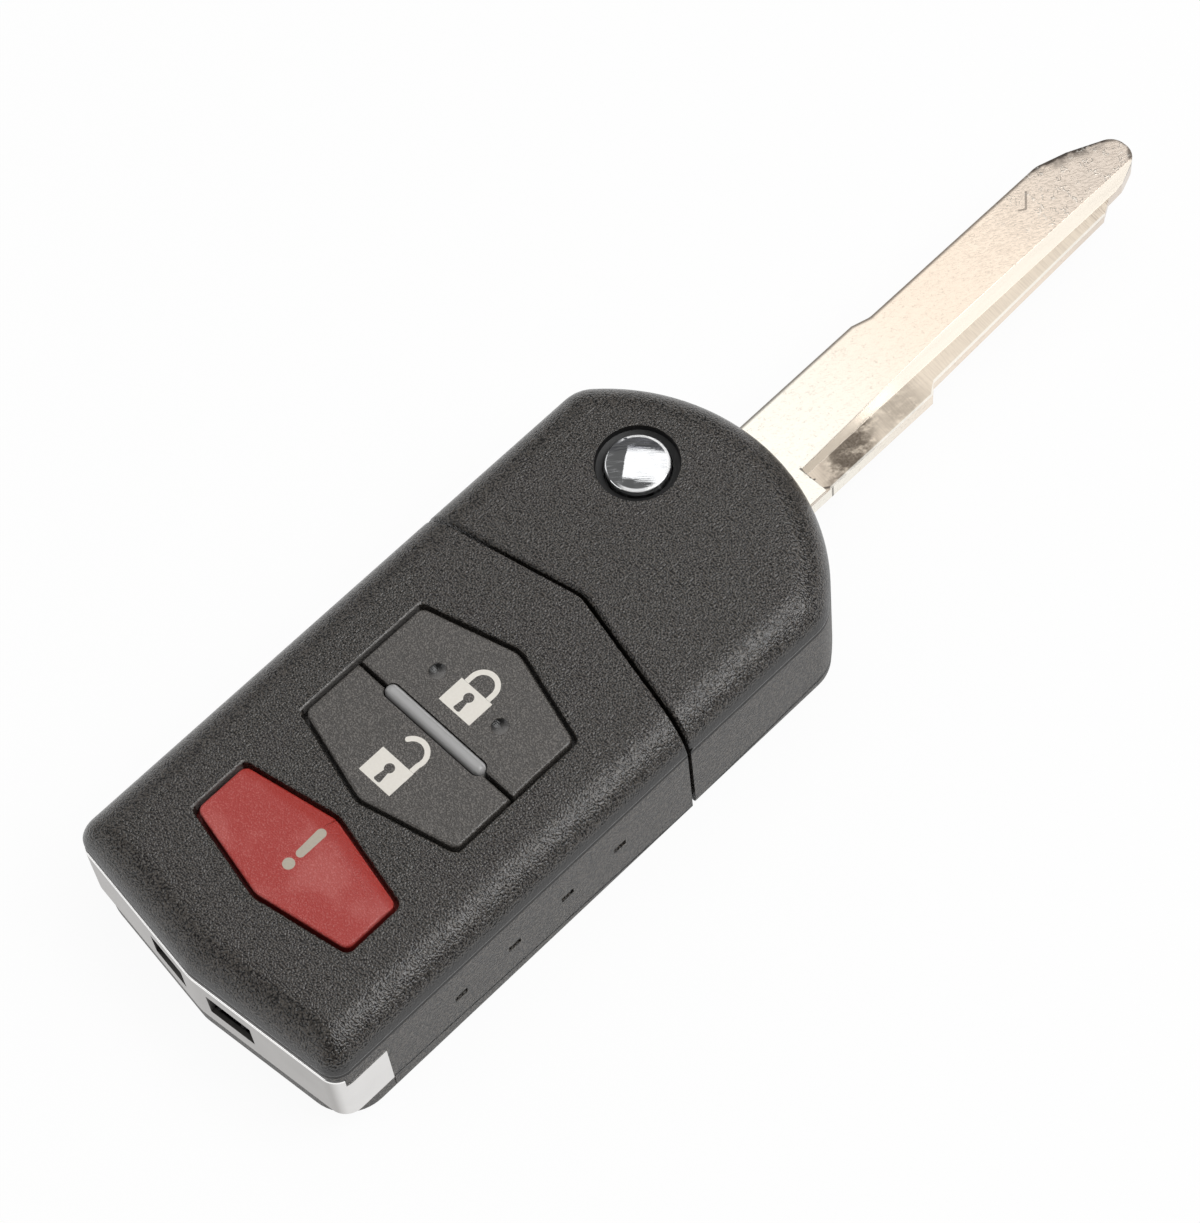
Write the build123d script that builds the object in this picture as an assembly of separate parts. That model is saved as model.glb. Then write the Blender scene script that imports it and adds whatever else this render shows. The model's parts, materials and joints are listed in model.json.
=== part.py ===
# Flip remote key, blade swung open, lying on its back
# Millimetres; +X is the key's right, +Y runs to the blade's tip, +Z leaves the front face
# Everything is drawn from the blade's pivot line (y = 0) and moved to the middle at the end
from build123d import *
from math import atan2, cos, radians, sin, sqrt, tan
import os

# Case outline
case_width = 35.0
case_depth = 14.8
head_arc_r = 21.75
head_arc_x = -0.6
head_peak = 10.6
head_corner_r = 4.2
end_point = 63.8
end_corner = 61.9
end_corner_r = 2.0
end_point_r = 5.0
crown_r = 3.87
crown_overrun = 0.12
head_back_r = 1.6
body_back_r = 1.0

# Shell walls and the gaps between pieces
wall = 1.5
roof = 1.7
floor_thick = 1.4
head_floor = 1.6
seat_gap = 0.05
slip_gap = 0.1
seam_gap = 0.15
plug_overlap = 0.4
edge_r = 0.2
lip_width = 0.3
cover_edge_r = 0.12
loose_gap = 0.3

# Where the head and the body part, a shallow chevron
split_point = 13.5
split_corner = 17.35
split_gap = 0.45
split_point_r = 3.0
split_wall = 1.3

# Sloping seams between front and back shells
body_seam_top = 0.9
body_seam_end = 2.9
head_seam_low = 1.3
head_seam_high = 3.1

# Pivot and blade
pivot_x = -6.24
blade_thick = 2.3
blade_below_face = 6.0
blade_reach = 61.2
shoulder_left = -4.5
shoulder_right = 6.35
shoulder_end = 28.3
step_length = 1.0
edge_left = -3.9
edge_right = 5.5
tip_right = ((4.7, 7.4), (3.7, 5.6), (3.5, 3.4))
tip_left = ((-2.85, 4.7), (-3.9, 8.0))
nose_left = -0.6
nose_right = 2.2
nose_r = 1.9
bend_r = 2.5
relief_root_x = 3.05
relief_x = 2.35
relief_slope = 1.25
relief_depth = 0.6
relief_start = 12.4
relief_taper = 20.6
back_relief_width = 3.2
low_relief_width = 0.9
low_relief_depth = 0.5

# Hub that carries the blade
hub_r = 7.1
hub_foot_gap = 0.2
hub_cover = 2.3
hub_floor = 0.9
hub_chamfer = 0.4
arm_thick = 3.5
arm_foot = 3.3
arm_top = 7.4
arm_overlap = 0.1
arm_corner_r = 1.0
root_left = -2.4
root_right = 5.4
root_foot = 2.6
root_clear_r = 3.95
pin_x = 2.3
pin_y = 2.6
pin_r = 0.75
pin_play = 0.01
slot_margin = 0.2
sweep_margin = 0.4
sweep_start = -17
sweep_turn = 268

# Release button, its spring and the post they turn on
button_r = 3.2
button_proud = 0.4
button_rise = 0.45
button_edge_r = 0.3
button_length = 6.6
button_skin = 2.3
button_bore_r = 2.5
button_travel = 2.0
recess_r = 4.13
recess_depth = 0.9
recess_bend = 0.85
recess_bend_depth = 0.7
button_hole_r = 3.35
wing_reach = 5.1
wing_width = 2.0
wing_thick = 2.0
wing_above_hub = 0.4
wing_play = 0.15
post_r = 1.3
post_base_r = 4.0
post_base = 1.4
post_height = 5.3
post_chamfer = 0.3
post_play = 0.08
spring_wire = 0.6
spring_r = 1.95
spring_turns = 6

# Front keys: a hexagon shared by two keys and a long hexagon below
window_half = 10.45
window_top = 21.35
window_top_corner = 24.3
window_low_corner = 39.8
window_low = 42.5
window_split = 32.5
panic_half = 10.45
panic_top = 44.5
panic_top_corner = 46.65
panic_low_corner = 53.3
panic_low = 55.35
key_corner_r = 0.9
key_point_r = 2.5
key_gap = 0.4
key_sunk = 0.05
key_edge_r = 0.25
flange_reach = 0.7
flange_thick = 0.75
flange_gap = 0.25
panic_slope_width = 1.8
panic_slope_drop = 0.35
dimple_x = 4.14
dimple_y = 28.2
dimple_r = 0.9
dimple_depth = 0.4
bar_length = 12.8
bar_width = 1.5
bar_rise = 0.4
bar_round = 0.63
bar_clearance = 0.12

# Sealing mat below the keys
mat_gap = 0.9
mat_thick = 0.5
mat_margin = 2.95
mat_margin_top = 0.45
mat_margin_end = 1.05
mat_corner_r = 2.0
bead_inset = 0.3
bead_width = 0.8

# Circuit board and what it carries
board_to_mat = 1.7
board_thick = 1.0
board_side_gap = 0.4
board_from_neck = 1.2
board_end_gap = 0.5
board_corner = 2.0
board_hole_r = 0.8
board_hole_inset = 3.0
switch_side = 4.4
switch_body = 1.0
switch_stem_r = 1.1
switch_stem = 0.45
switch_chamfer = 0.5
switch_from_split = 4.5
control_inset = 6.4
control_y = 34.5
control_side = 6.0
control_height = 0.9
chip_edge = 0.15
crystal_inset = 6.45
crystal_y = 41.9
crystal_length = 3.5
crystal_height = 1.0
crystal_corner_r = 0.5
antenna_inset = 0.6
antenna_top = 28.0
antenna_end = 52.0
antenna_span = 2.2
antenna_strip = 0.7
antenna_height = 0.5

# Coin cell and its contacts
cell_r = 8.0
cell_thick = 2.0
cell_x = 4.4
cell_y = 40.0
cell_below_board = 4.6
cell_chamfer = 0.5
cell_step = 1.1
cell_step_height = 0.2
cell_rib = 1.0
cell_mouth = 6.0
strip_thick = 0.3
strip_width = 4.0
clip_inset = 2.0

# End piece with the key ring's two slots
end_proud = 0.1
end_low = 2.9
end_high = 10.6
tab_high = 9.25
tab_start = 56.1
end_front = 60.9
end_edge_r = 0.25
ring_left_out = -6.5
ring_left_in = -1.8
ring_right_in = 1.6
ring_right_out = 6.9
ring_low = 5.05
ring_high = 8.55
ring_web = 2.3
ring_way = 3.1
ring_wall = 0.9
end_rib = 1.0
ear_corner_r = 4.5

# Snap windows in the right wall and the hooks that fill them
snap_first = 26.8
snap_pitch = 6.76
snap_count = 4
snap_length = 1.5
snap_height = 0.8
snap_z = 6.3
snap_sunk = 0.5
hook_thick = 0.8
hook_width = 2.2
hook_above = 0.3
barb_play = 0.1

# Neck by which the head plugs into the body
neck_left = -6.3
neck_inset = 1.0
neck_length = 5.85
neck_room = 4.0
neck_low = 1.7
neck_rise = 3.4
neck_corner_r = 1.2
catch_inset = 2.0
catch_length = 5.0
catch_width = 1.2
catch_rise = 2.6
screw_x = 4.0
screw_from_split = 3.25
screw_r = 0.95
screw_head_r = 1.8
screw_head = 1.3
screw_cover = 0.9
screw_point = 0.5
screw_slot = 2.2
screw_slot_width = 0.5
screw_slot_depth = 0.7
screw_play = 0.15

# Transponder chip in the head
chip_margin = 1.4
chip_width = 4.6
chip_top = 2.0
chip_length = 11.5
chip_thick = 3.0
chip_low = 3.9
chip_frame = 0.8
chip_chamfer = 0.6
chip_pad_inset = 1.0

# Inner frame: liner of the blade's channel, feet and beams
liner_thick = 0.8
foot_count = 4
foot_width = 1.0
foot_inset = 3.0
beam_width = 1.3
beam_thick = 1.2

# Values that follow from the sizes above
half = case_width / 2
head_centre = head_peak - head_arc_r
end_angle = atan2(end_point - end_corner, half)
split_slope = (split_corner - split_point) / half
middle_shift = (end_point + end_proud - blade_reach) / 2
hub_low = head_floor + post_base + hub_foot_gap
hub_high = case_depth - hub_cover
wing_high = hub_high + wing_above_hub
wing_low = wing_high - wing_thick
button_top = case_depth + button_proud
button_foot = button_top - button_length
button_ceiling = button_top - button_skin
post_top = head_floor + post_base + post_height
blade_high = case_depth - blade_below_face
blade_low = blade_high - blade_thick
blade_mid = blade_low + blade_thick / 2
arm_low = blade_mid - arm_thick / 2
arm_high = blade_mid + arm_thick / 2
slot_low = arm_low - slot_margin
slot_high = arm_high + slot_margin
neck_high = slot_low + neck_rise
screw_length = neck_high - screw_cover - neck_low - screw_head
channel_x = 2 * pivot_x - shoulder_left + sweep_margin
liner_x = channel_x + liner_thick
sweep_r = sqrt((shoulder_right - pivot_x) ** 2 + arm_top**2) + sweep_margin
well_r = hub_r + slip_gap
well_top = hub_high + loose_gap
bay_top = case_depth - roof
flange_high = bay_top - flange_gap
flange_low = flange_high - flange_thick
mat_high = flange_low - mat_gap
mat_low = mat_high - mat_thick
board_high = mat_low - board_to_mat
board_low = board_high - board_thick
board_left = liner_x + loose_gap
board_right = half - wall - board_side_gap
board_end = tab_start - board_end_gap
lock_switch_y = window_split - switch_from_split
unlock_switch_y = window_split + switch_from_split
panic_switch_y = (panic_top + panic_low) / 2
chip_left = half - wall - chip_margin - chip_width
neck_right = half - wall - neck_inset
neck_end = split_corner + neck_length
screw_y = split_corner + screw_from_split
catch_right = neck_right - catch_inset
board_top = neck_end + board_from_neck
cell_low = board_low - cell_below_board
pocket_end = blade_reach + loose_gap
ring_back = end_point - ring_web - ring_way
hook_right = half - wall - slip_gap


# Drawing helpers
def prism(sketch, low, high):
    return Pos(0, 0, low) * extrude(sketch, high - low)


def block(x0, x1, y0, y1, z0, z1):
    corner = Align.MIN
    return Pos(x0, y0, z0) * Box(x1 - x0, y1 - y0, z1 - z0, align=(corner, corner, corner))


def rectangle(x0, x1, y0, y1):
    return outline([(x0, y0), (x1, y0), (x1, y1), (x0, y1)])


def drum(x, y, radius, low, high):
    bottom = (Align.CENTER, Align.CENTER, Align.MIN)
    return Pos(x, y, low) * Cylinder(radius, high - low, align=bottom)


def outline(points):
    return make_face(Polyline(*points, close=True))


def corners_at(sketch, x, y):
    return [v for v in sketch.vertices() if abs(abs(v.X) - x) < 1e-3 and abs(v.Y - y) < 1e-3]


# Plan of the whole case, grown outwards by a small amount
def case_plan(grow, corner_r=end_corner_r):
    side = half + grow
    arc_r = head_arc_r + grow
    left_foot = head_centre + sqrt(arc_r**2 - (side + head_arc_x) ** 2)
    right_foot = head_centre + sqrt(arc_r**2 - (side - head_arc_x) ** 2)
    point = -end_point - grow / cos(end_angle)
    corner = point + side * tan(end_angle)
    edges = (
        Line((0, point), (side, corner))
        + Line((side, corner), (side, right_foot))
        + ThreePointArc((side, right_foot), (head_arc_x, head_centre + arc_r), (-side, left_foot))
        + Line((-side, left_foot), (-side, corner))
        + Line((-side, corner), (0, point))
    )
    plan = make_face(edges)
    plan = fillet(corners_at(plan, side, left_foot) + corners_at(plan, side, right_foot), head_corner_r)
    plan = fillet(corners_at(plan, side, corner), corner_r)
    return fillet(corners_at(plan, 0, point), end_point_r)


# Whole case as one form: broad crown that ends in a crease on the wall, rounded back edge
def case_form(back_r, corner_r=end_corner_r):
    crowned = extrude(case_plan(crown_overrun, corner_r), case_depth)
    crowned = fillet(crowned.faces().sort_by(Axis.Z)[-1].edges(), crown_r)
    walled = extrude(case_plan(0, corner_r), case_depth)
    walled = fillet(walled.faces().sort_by(Axis.Z)[0].edges(), back_r)
    return crowned & walled


# Plan region above or below the chevron, moved along Y
def chevron_plan(move, above):
    reach = 2 * half
    tip = -split_point + move
    foot = tip - reach * split_slope
    far = 60 if above else -90
    plan = outline([(-reach, foot), (0, tip), (reach, foot), (reach, far), (-reach, far)])
    return fillet(corners_at(plan, 0, tip), split_point_r)


# Outer edges along the chevron: across the front face and down the crown
def chevron_edges(shape, move):
    found = []
    for edge in shape.edges():
        point = edge.center()
        away = point.Y - (-split_point + move - abs(point.X) * split_slope)
        if abs(away) < split_gap and point.Z > bay_top and edge.length > split_gap:
            found.append(edge)
    return found


# Everything under a seam that slopes along Y and passes through two given heights
def under_seam(y0, z0, y1, z1):
    slope = (z1 - z0) / (y1 - y0)
    near = y0 - end_point
    far = y0 + end_point
    deep = -case_depth
    rise = end_point * slope
    profile = outline([(near, deep), (far, deep), (far, z0 + rise), (near, z0 - rise)])
    return extrude(Plane.YZ * profile, case_width, both=True)


# Hexagon of a key or its window, grown outwards
def hexagon(side, top, top_corner, low_corner, low, grow):
    rise = (top_corner - top) / side
    fall = (low - low_corner) / side
    wide = side + grow
    up = -top + grow * sqrt(1 + rise**2)
    down = -low - grow * sqrt(1 + fall**2)
    points = [(0, up), (wide, up - wide * rise), (wide, down + wide * fall), (0, down)]
    points += [(-wide, down + wide * fall), (-wide, up - wide * rise)]
    plan = outline(points)
    ends = corners_at(plan, 0, up) + corners_at(plan, 0, down)
    plan = fillet(ends, key_point_r)
    sides = [v for v in plan.vertices() if abs(abs(v.X) - wide) < 1e-3]
    return fillet(sides, key_corner_r)


def window_plan(grow):
    return hexagon(window_half, window_top, window_top_corner, window_low_corner, window_low, grow)


def panic_plan(grow):
    return hexagon(panic_half, panic_top, panic_top_corner, panic_low_corner, panic_low, grow)


# Space swept at blade height: the arm at both ends of its turn, the pie between, the channel
def sweep_plan():
    centre = (pivot_x, 0)
    arc_points = []
    for share in (0, 0.5, 1):
        angle = radians(sweep_start + sweep_turn * share)
        arc_points.append((pivot_x + sweep_r * cos(angle), sweep_r * sin(angle)))
    edges = Line(centre, arc_points[0]) + ThreePointArc(*arc_points) + Line(arc_points[2], centre)
    plan = make_face(edges)
    right = shoulder_right + sweep_margin
    left = shoulder_left - sweep_margin
    far = 2 * half
    plan += rectangle(pivot_x, right, -arm_foot - loose_gap, root_foot)
    plan += rectangle(left, right, 0, far)
    return plan + rectangle(-far, channel_x, -pocket_end, 0)


sweep_space = prism(sweep_plan(), slot_low, slot_high)
body_zone = prism(chevron_plan(-split_gap / 2, False), -1, case_depth + 1)
head_zone = prism(chevron_plan(split_gap / 2, True), -1, case_depth + 1)


# Plan of the head's or the body's inside, a wall's thickness in from the outside
def inside_plan(thick, corner_r=end_corner_r):
    return case_plan(-thick, max(corner_r - thick, 0.5))


# Region on the blade's side where the back shell rises up to the slot
def raised_zone(gap):
    plan = Pos(pivot_x, 0) * Circle(sweep_r + loose_gap - gap)
    plan += rectangle(-2 * half, channel_x - gap, -end_point, end_point)
    return prism(plan, -1, slot_low)


# Head, front shell: crown, hub well, swept slot, chip pocket and half of the neck
def make_head_front():
    seam = under_seam(-split_corner, head_seam_low, head_peak, head_seam_high)
    shell = case_form(head_back_r) & head_zone
    shell = chamfer(chevron_edges(shell, split_gap / 2), lip_width)
    shell = shell - seam - raised_zone(0)

    chevron_wall = chevron_plan(split_gap / 2 + split_wall, True)
    hollow = prism(inside_plan(wall) & chevron_wall, -1, well_top)
    boss = drum(pivot_x, 0, well_r + wall, slot_high, well_top)
    bridge = block(channel_x, chip_left - chip_frame, -split_corner, -well_r - wall, slot_low, well_top)
    shell -= hollow - boss - bridge - chip_room(chip_frame, head_seam_high + 1, well_top)

    shell -= neck_block(neck_low - slip_gap, slot_low, slip_gap)
    shell += neck_block(slot_low, neck_high)
    shell -= sweep_space
    shell -= drum(pivot_x, 0, well_r, 0, well_top)
    shell -= drum(pivot_x, 0, wing_reach + loose_gap, well_top - 1, wing_high + loose_gap)
    shell -= chip_room(2 * seat_gap, 0, chip_low + chip_thick + slip_gap)
    screw_top = neck_low + screw_head + screw_length
    shell -= drum(screw_x, -screw_y, screw_r + seat_gap, 0, screw_top + loose_gap)

    # Hole for the release button with a dished recess round it
    shell -= drum(pivot_x, 0, button_hole_r, well_top - 1, case_depth + 1)
    rim = recess_r - button_hole_r
    dish = outline(
        [(0, case_depth - recess_depth), (button_hole_r, case_depth - recess_depth)]
        + [(button_hole_r + rim * recess_bend, case_depth - recess_depth * recess_bend_depth)]
        + [(recess_r, case_depth), (recess_r, case_depth + 1), (0, case_depth + 1)]
    )
    shell -= Pos(pivot_x, 0) * revolve(Plane.XZ * dish, Axis.Z)
    return shell


# Block round the chip, grown sideways
def chip_room(grow, low, high):
    right = chip_left + chip_width + grow
    return block(chip_left - grow, right, -chip_top - chip_length - grow, -chip_top + grow, low, high)


# Part of the neck between two heights, following the chevron at its root
def neck_block(low, high, grow=0):
    neck = block(neck_left - grow, neck_right + grow, -neck_end - grow, -split_point, low, high)
    corners = neck.edges().filter_by(Axis.Z).group_by(Axis.Y)[0]
    return fillet(corners, neck_corner_r)


# Head, back shell: rises to the slot on the blade's side, ring round the hub, lower neck
def make_head_back():
    seam = under_seam(-split_corner, head_seam_low - seam_gap, head_peak, head_seam_high - seam_gap)
    shell = (case_form(head_back_r) & head_zone) & (seam + raised_zone(slip_gap))

    chevron_wall = chevron_plan(split_gap / 2 + split_wall, True)
    hollow = prism(inside_plan(wall) & chevron_wall, head_floor, case_depth)
    ring = drum(pivot_x, 0, well_r + wall, 0, slot_low)
    shell -= hollow - ring
    shell += chip_room(-chip_pad_inset, head_floor, chip_low - slip_gap)
    shell += neck_block(neck_low, slot_low - seat_gap)
    shell -= drum(pivot_x, 0, well_r, head_floor, case_depth)

    # Screw seat from below and the groove for the body's catch
    shell -= drum(screw_x, -screw_y, screw_head_r + screw_play, neck_low - 1, neck_low + screw_head)
    shell -= drum(screw_x, -screw_y, screw_r + screw_play, neck_low, slot_low)
    shell -= catch_block(2 * slip_gap)
    return shell


# Catch on the body's floor that holds the neck
def catch_block(grow):
    left = catch_right - catch_length
    side = catch_width / 2 + grow
    return block(
        left - grow, catch_right + grow, -screw_y - side, -screw_y + side, floor_thick, catch_rise + grow
    )


# Blade blank: flat nickel-plated bar with shoulders, a milled relief and an off-centre nose
def make_blade():
    foot = arm_top + seat_gap
    step_bend = shoulder_end + step_length
    points = [
        (root_left, -root_foot), (root_right, -root_foot), (root_right, foot), (shoulder_right, foot),
        (shoulder_right, shoulder_end - step_length), (edge_right, shoulder_end),
    ]
    points += [(x, blade_reach - back) for x, back in tip_right]
    points += [(nose_right, blade_reach), (nose_left, blade_reach)]
    points += [(x, blade_reach - back) for x, back in tip_left]
    points += [
        (edge_left, step_bend), (shoulder_left, shoulder_end - step_length),
        (shoulder_left, foot), (root_left, foot),
    ]
    plan = outline(points)
    nose = corners_at(plan, nose_right, blade_reach) + corners_at(plan, -nose_left, blade_reach)
    plan = fillet(nose, nose_r)
    tip_bend = blade_reach - tip_left[-1][1]
    bends = corners_at(plan, -edge_left, tip_bend) + corners_at(plan, -edge_left, step_bend)
    plan = fillet(bends, bend_r)
    plan -= Pos(pivot_x, 0) * Circle(root_clear_r)
    blade = prism(plan, blade_low, blade_high)

    # Relief along the right edge of the front face: its slope widens, then runs straight
    far = shoulder_right + 1
    floor_x = relief_x + relief_slope
    floor_z = blade_high - relief_depth
    run_out = relief_start + relief_taper
    sections = [
        Pos(0, y) * (Plane.XZ * outline(
            [(edge, blade_high), (floor_x, floor_z), (far, floor_z), (far, blade_high + 1), (edge, blade_high + 1)]
        ))
        for y, edge in ((relief_start, relief_root_x), (run_out, relief_x))
    ]
    length = blade_reach - relief_start + 1
    blade -= loft(sections, ruled=True) + extrude(sections[1], relief_taper - length)

    # Relief on the back face, along the other edge
    back_edge = shoulder_left + back_relief_width
    back_cut = outline([
        (back_edge, blade_low), (back_edge - relief_slope, blade_low + relief_depth),
        (shoulder_left - 1, blade_low + relief_depth), (shoulder_left - 1, blade_low - 1),
        (back_edge, blade_low - 1),
    ])
    blade -= Pos(0, relief_start) * extrude(Plane.XZ * back_cut, -length)

    # Thinned lower edge of the narrow part
    low_edge = tip_right[0][0] - low_relief_width
    low_foot = low_edge - low_relief_depth
    low_cut = outline([
        (low_foot, blade_low), (low_edge, blade_low + low_relief_depth),
        (far, blade_low + low_relief_depth), (far, blade_low - 1), (low_foot, blade_low - 1),
    ])
    blade -= Pos(0, shoulder_end) * extrude(Plane.XZ * low_cut, -length)
    return blade - drum(pin_x, pin_y, pin_r, 0, case_depth)


# Hub: turned disc with the arm that grips the blade's root
def make_hub():
    hub = drum(pivot_x, 0, hub_r, hub_low, hub_high)
    hub = chamfer(hub.edges().filter_by(GeomType.CIRCLE), hub_chamfer)
    arm = block(shoulder_left - arm_overlap, shoulder_right, -arm_foot, arm_top, arm_low, arm_high)
    arm = fillet(arm.edges().filter_by(Axis.Z).group_by(Axis.X)[-1], arm_corner_r)
    hub += arm
    gap = seat_gap
    root = block(
        root_left - gap, root_right + gap, -root_foot - gap, arm_top + 1,
        blade_low - gap, blade_high + gap,
    )
    root -= drum(pivot_x, 0, root_clear_r - gap, 0, case_depth)
    hub -= root
    hub -= drum(pivot_x, 0, button_hole_r, hub_low + hub_floor, case_depth)
    hub -= drum(pivot_x, 0, post_r + post_play, 0, case_depth)

    # Slots that the button's wings slide in
    slot = Rectangle(wing_width + 2 * wing_play, 2 * (wing_reach + wing_play))
    hub -= Pos(pivot_x, 0) * prism(slot, wing_low - button_travel - wing_play, case_depth)
    return hub - drum(pin_x, pin_y, pin_r, 0, case_depth)


# Release button: chrome cap on a hollow stem with two wings
def make_release_button():
    rim = button_top - button_rise
    face = make_face(
        TangentArc((0, button_top), (button_r, rim), tangent=(1, 0))
        + Line((button_r, rim), (button_r, button_foot))
        + Line((button_r, button_foot), (button_bore_r, button_foot))
        + Line((button_bore_r, button_foot), (button_bore_r, button_ceiling))
        + Line((button_bore_r, button_ceiling), (0, button_ceiling))
        + Line((0, button_ceiling), (0, button_top))
    )
    face = fillet(corners_at(face, button_r, rim), button_edge_r)
    button = revolve(Plane.XZ * face, Axis.Z)
    wings = prism(Rectangle(wing_width, 2 * wing_reach), wing_low, wing_high)
    wings -= drum(0, 0, button_bore_r + seat_gap, 0, case_depth)
    return Pos(pivot_x, 0) * (button + wings)


# Square-wire coil spring round the post, from the hub's floor up to the button
def make_spring():
    low = hub_low + hub_floor + seat_gap + spring_wire / 2
    high = button_ceiling - seat_gap - spring_wire / 2
    path = Helix((high - low) / spring_turns, high - low, spring_r)
    plane = Plane(origin=path @ 0, x_dir=(1, 0, 0), z_dir=path % 0)
    coil = sweep(plane * Rectangle(spring_wire, spring_wire), path=path, is_frenet=True)
    return Pos(pivot_x, 0, low) * coil


def make_post():
    base = drum(pivot_x, 0, post_base_r, head_floor, head_floor + post_base)
    post = drum(pivot_x, 0, post_r, head_floor + post_base, post_top)
    post = chamfer(post.edges().group_by(Axis.Z)[-1], post_chamfer)
    return base + post


def make_screw():
    base = neck_low
    head = drum(screw_x, -screw_y, screw_head_r, base, base + screw_head)
    shank = drum(screw_x, -screw_y, screw_r, base + screw_head, base + screw_head + screw_length)
    shank = chamfer(shank.edges().group_by(Axis.Z)[-1], screw_point)
    cross = Rectangle(screw_slot, screw_slot_width) + Rectangle(screw_slot_width, screw_slot)
    return head + shank - Pos(screw_x, -screw_y, base) * extrude(cross, screw_slot_depth)


def make_chip():
    body = chip_room(0, chip_low, chip_low + chip_thick)
    return chamfer(body.edges().filter_by(Axis.Z), chip_chamfer)


# Body, front cover: crown, windows for the keys, snap windows, notch for the end piece
def make_front_cover():
    gap = slip_gap / 2
    seam = under_seam(-split_corner, body_seam_top, -tab_start, body_seam_end)
    cover = case_form(body_back_r) & body_zone
    cover = fillet(chevron_edges(cover, -split_gap / 2), cover_edge_r)
    cover -= seam
    cover -= block(-2 * half, channel_x, -tab_start, 0, -1, slot_low)
    inside = inside_plan(wall) & chevron_plan(-split_gap / 2 - split_wall, False)
    cover -= prism(inside, -1, bay_top)
    cover -= block(-2 * half, 2 * half, -2 * end_point, -tab_start + gap, -1, tab_high + gap)
    cover -= block(-2 * half, 2 * half, -2 * end_point, -end_front + gap, -1, end_high + gap)
    cover -= sweep_space
    cover -= block(
        neck_left - slip_gap, neck_right + slip_gap, -split_corner - neck_room, 0, -1, neck_high + slip_gap
    )
    cover -= prism(window_plan(0) + panic_plan(0), bay_top - 1, case_depth + 1)
    rims = cover.edges().filter_by(
        lambda e: abs(e.center().Z - case_depth) < 1e-3 and abs(e.center().X) < window_half + edge_r
    )
    rims = rims.filter_by(lambda e: -panic_low - edge_r < e.center().Y < -window_top + edge_r)
    cover = fillet(rims, edge_r)
    for index in range(snap_count):
        y = -snap_first - index * snap_pitch
        cover -= block(
            half - 2 * wall, half + 1, y - snap_length / 2, y + snap_length / 2,
            snap_z - snap_height / 2, snap_z + snap_height / 2,
        )
    return cover


# Body, back cover: tray with the battery ring, snap hooks and the wall below the blade
def make_back_cover():
    form = case_form(body_back_r, ear_corner_r) & body_zone
    seam = under_seam(-split_corner, body_seam_top - seam_gap, -tab_start, body_seam_end - seam_gap)
    rim = form & seam & block(-2 * half, 2 * half, -tab_start + slip_gap, 0, -1, case_depth)
    ear = form & block(-2 * half, 2 * half, -2 * end_point, -tab_start, -1, end_low - loose_gap)
    side = form & block(-2 * half, channel_x - 2, -tab_start + slip_gap, 0, -1, slot_low)
    tray = rim + ear + side
    inside = inside_plan(wall, ear_corner_r) & chevron_plan(-split_gap / 2 - split_wall, False)
    tray -= prism(inside, floor_thick, case_depth)
    plug_wall = wall + slip_gap
    plug = inside_plan(plug_wall, ear_corner_r) & chevron_plan(-split_gap / 2 - plug_wall, False)
    tray += prism(plug, body_seam_top - seam_gap - plug_overlap, floor_thick)

    # Ring and cross ribs that hold the coin cell
    ring_r = cell_r + slip_gap
    ring = drum(cell_x, -cell_y, ring_r + cell_rib, floor_thick, cell_low + 1)
    ring -= drum(cell_x, -cell_y, ring_r, 0, case_depth)
    mouth = cell_mouth / 2
    ring -= block(cell_x - mouth, cell_x + mouth, -cell_y, 0, floor_thick, case_depth)
    rib_top = cell_low - strip_thick - 2 * seat_gap
    for angle in (45, 135):
        rib = Pos(cell_x, -cell_y, floor_thick) * Rot(0, 0, angle) * Box(
            2 * ring_r, cell_rib, rib_top - floor_thick, align=(Align.CENTER, Align.CENTER, Align.MIN)
        )
        ring += rib
    tray += ring

    # Snap hooks behind the right wall, each with a barb in its window
    barb_length = snap_length / 2 - barb_play
    barb_height = snap_height / 2 - barb_play
    for index in range(snap_count):
        y = -snap_first - index * snap_pitch
        tray += block(
            hook_right - hook_thick, hook_right, y - hook_width / 2, y + hook_width / 2,
            floor_thick - slip_gap, snap_z + snap_height / 2 + hook_above,
        )
        tray += block(
            hook_right - hook_thick, half - snap_sunk, y - barb_length, y + barb_length,
            snap_z - barb_height, snap_z + barb_height,
        )
    tray += catch_block(0)
    return tray


# Inner frame: open channel for the folded blade and beams that carry the board
def make_inner_frame():
    left = -half + wall + slip_gap
    top_y = -split_corner - 2 * split_wall
    end_y = -tab_start + slip_gap + loose_gap
    low = slot_low - liner_thick
    high = slot_high + liner_thick
    section = outline([
        (left, low), (liner_x, low), (liner_x, high), (left, high),
        (left, slot_high), (channel_x, slot_high), (channel_x, slot_low), (left, slot_low),
    ])
    frame = Pos(0, top_y) * extrude(Plane.XZ * section, top_y - end_y)

    # Feet under the channel and beams under the board
    span = top_y - end_y - 2 * foot_inset
    for index in range(foot_count):
        y = top_y - foot_inset - span * index / (foot_count - 1)
        side = foot_width / 2
        frame += block(
            left + wall, channel_x - liner_thick, y - side, y + side,
            floor_thick + seat_gap, low + slip_gap,
        )
    beam_high = board_low - seat_gap
    beam_low = beam_high - beam_thick
    right = hook_right - hook_thick - loose_gap
    inner = liner_x - slip_gap
    for y in (-board_top - beam_width, -board_end):
        frame += block(inner, right, y, y + beam_width, beam_low, beam_high)
    frame += block(inner, liner_x + beam_width, -board_end, -board_top, beam_low, beam_high)
    frame += block(right - beam_width, right, -board_end, -board_top, beam_low, beam_high)
    return frame


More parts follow.
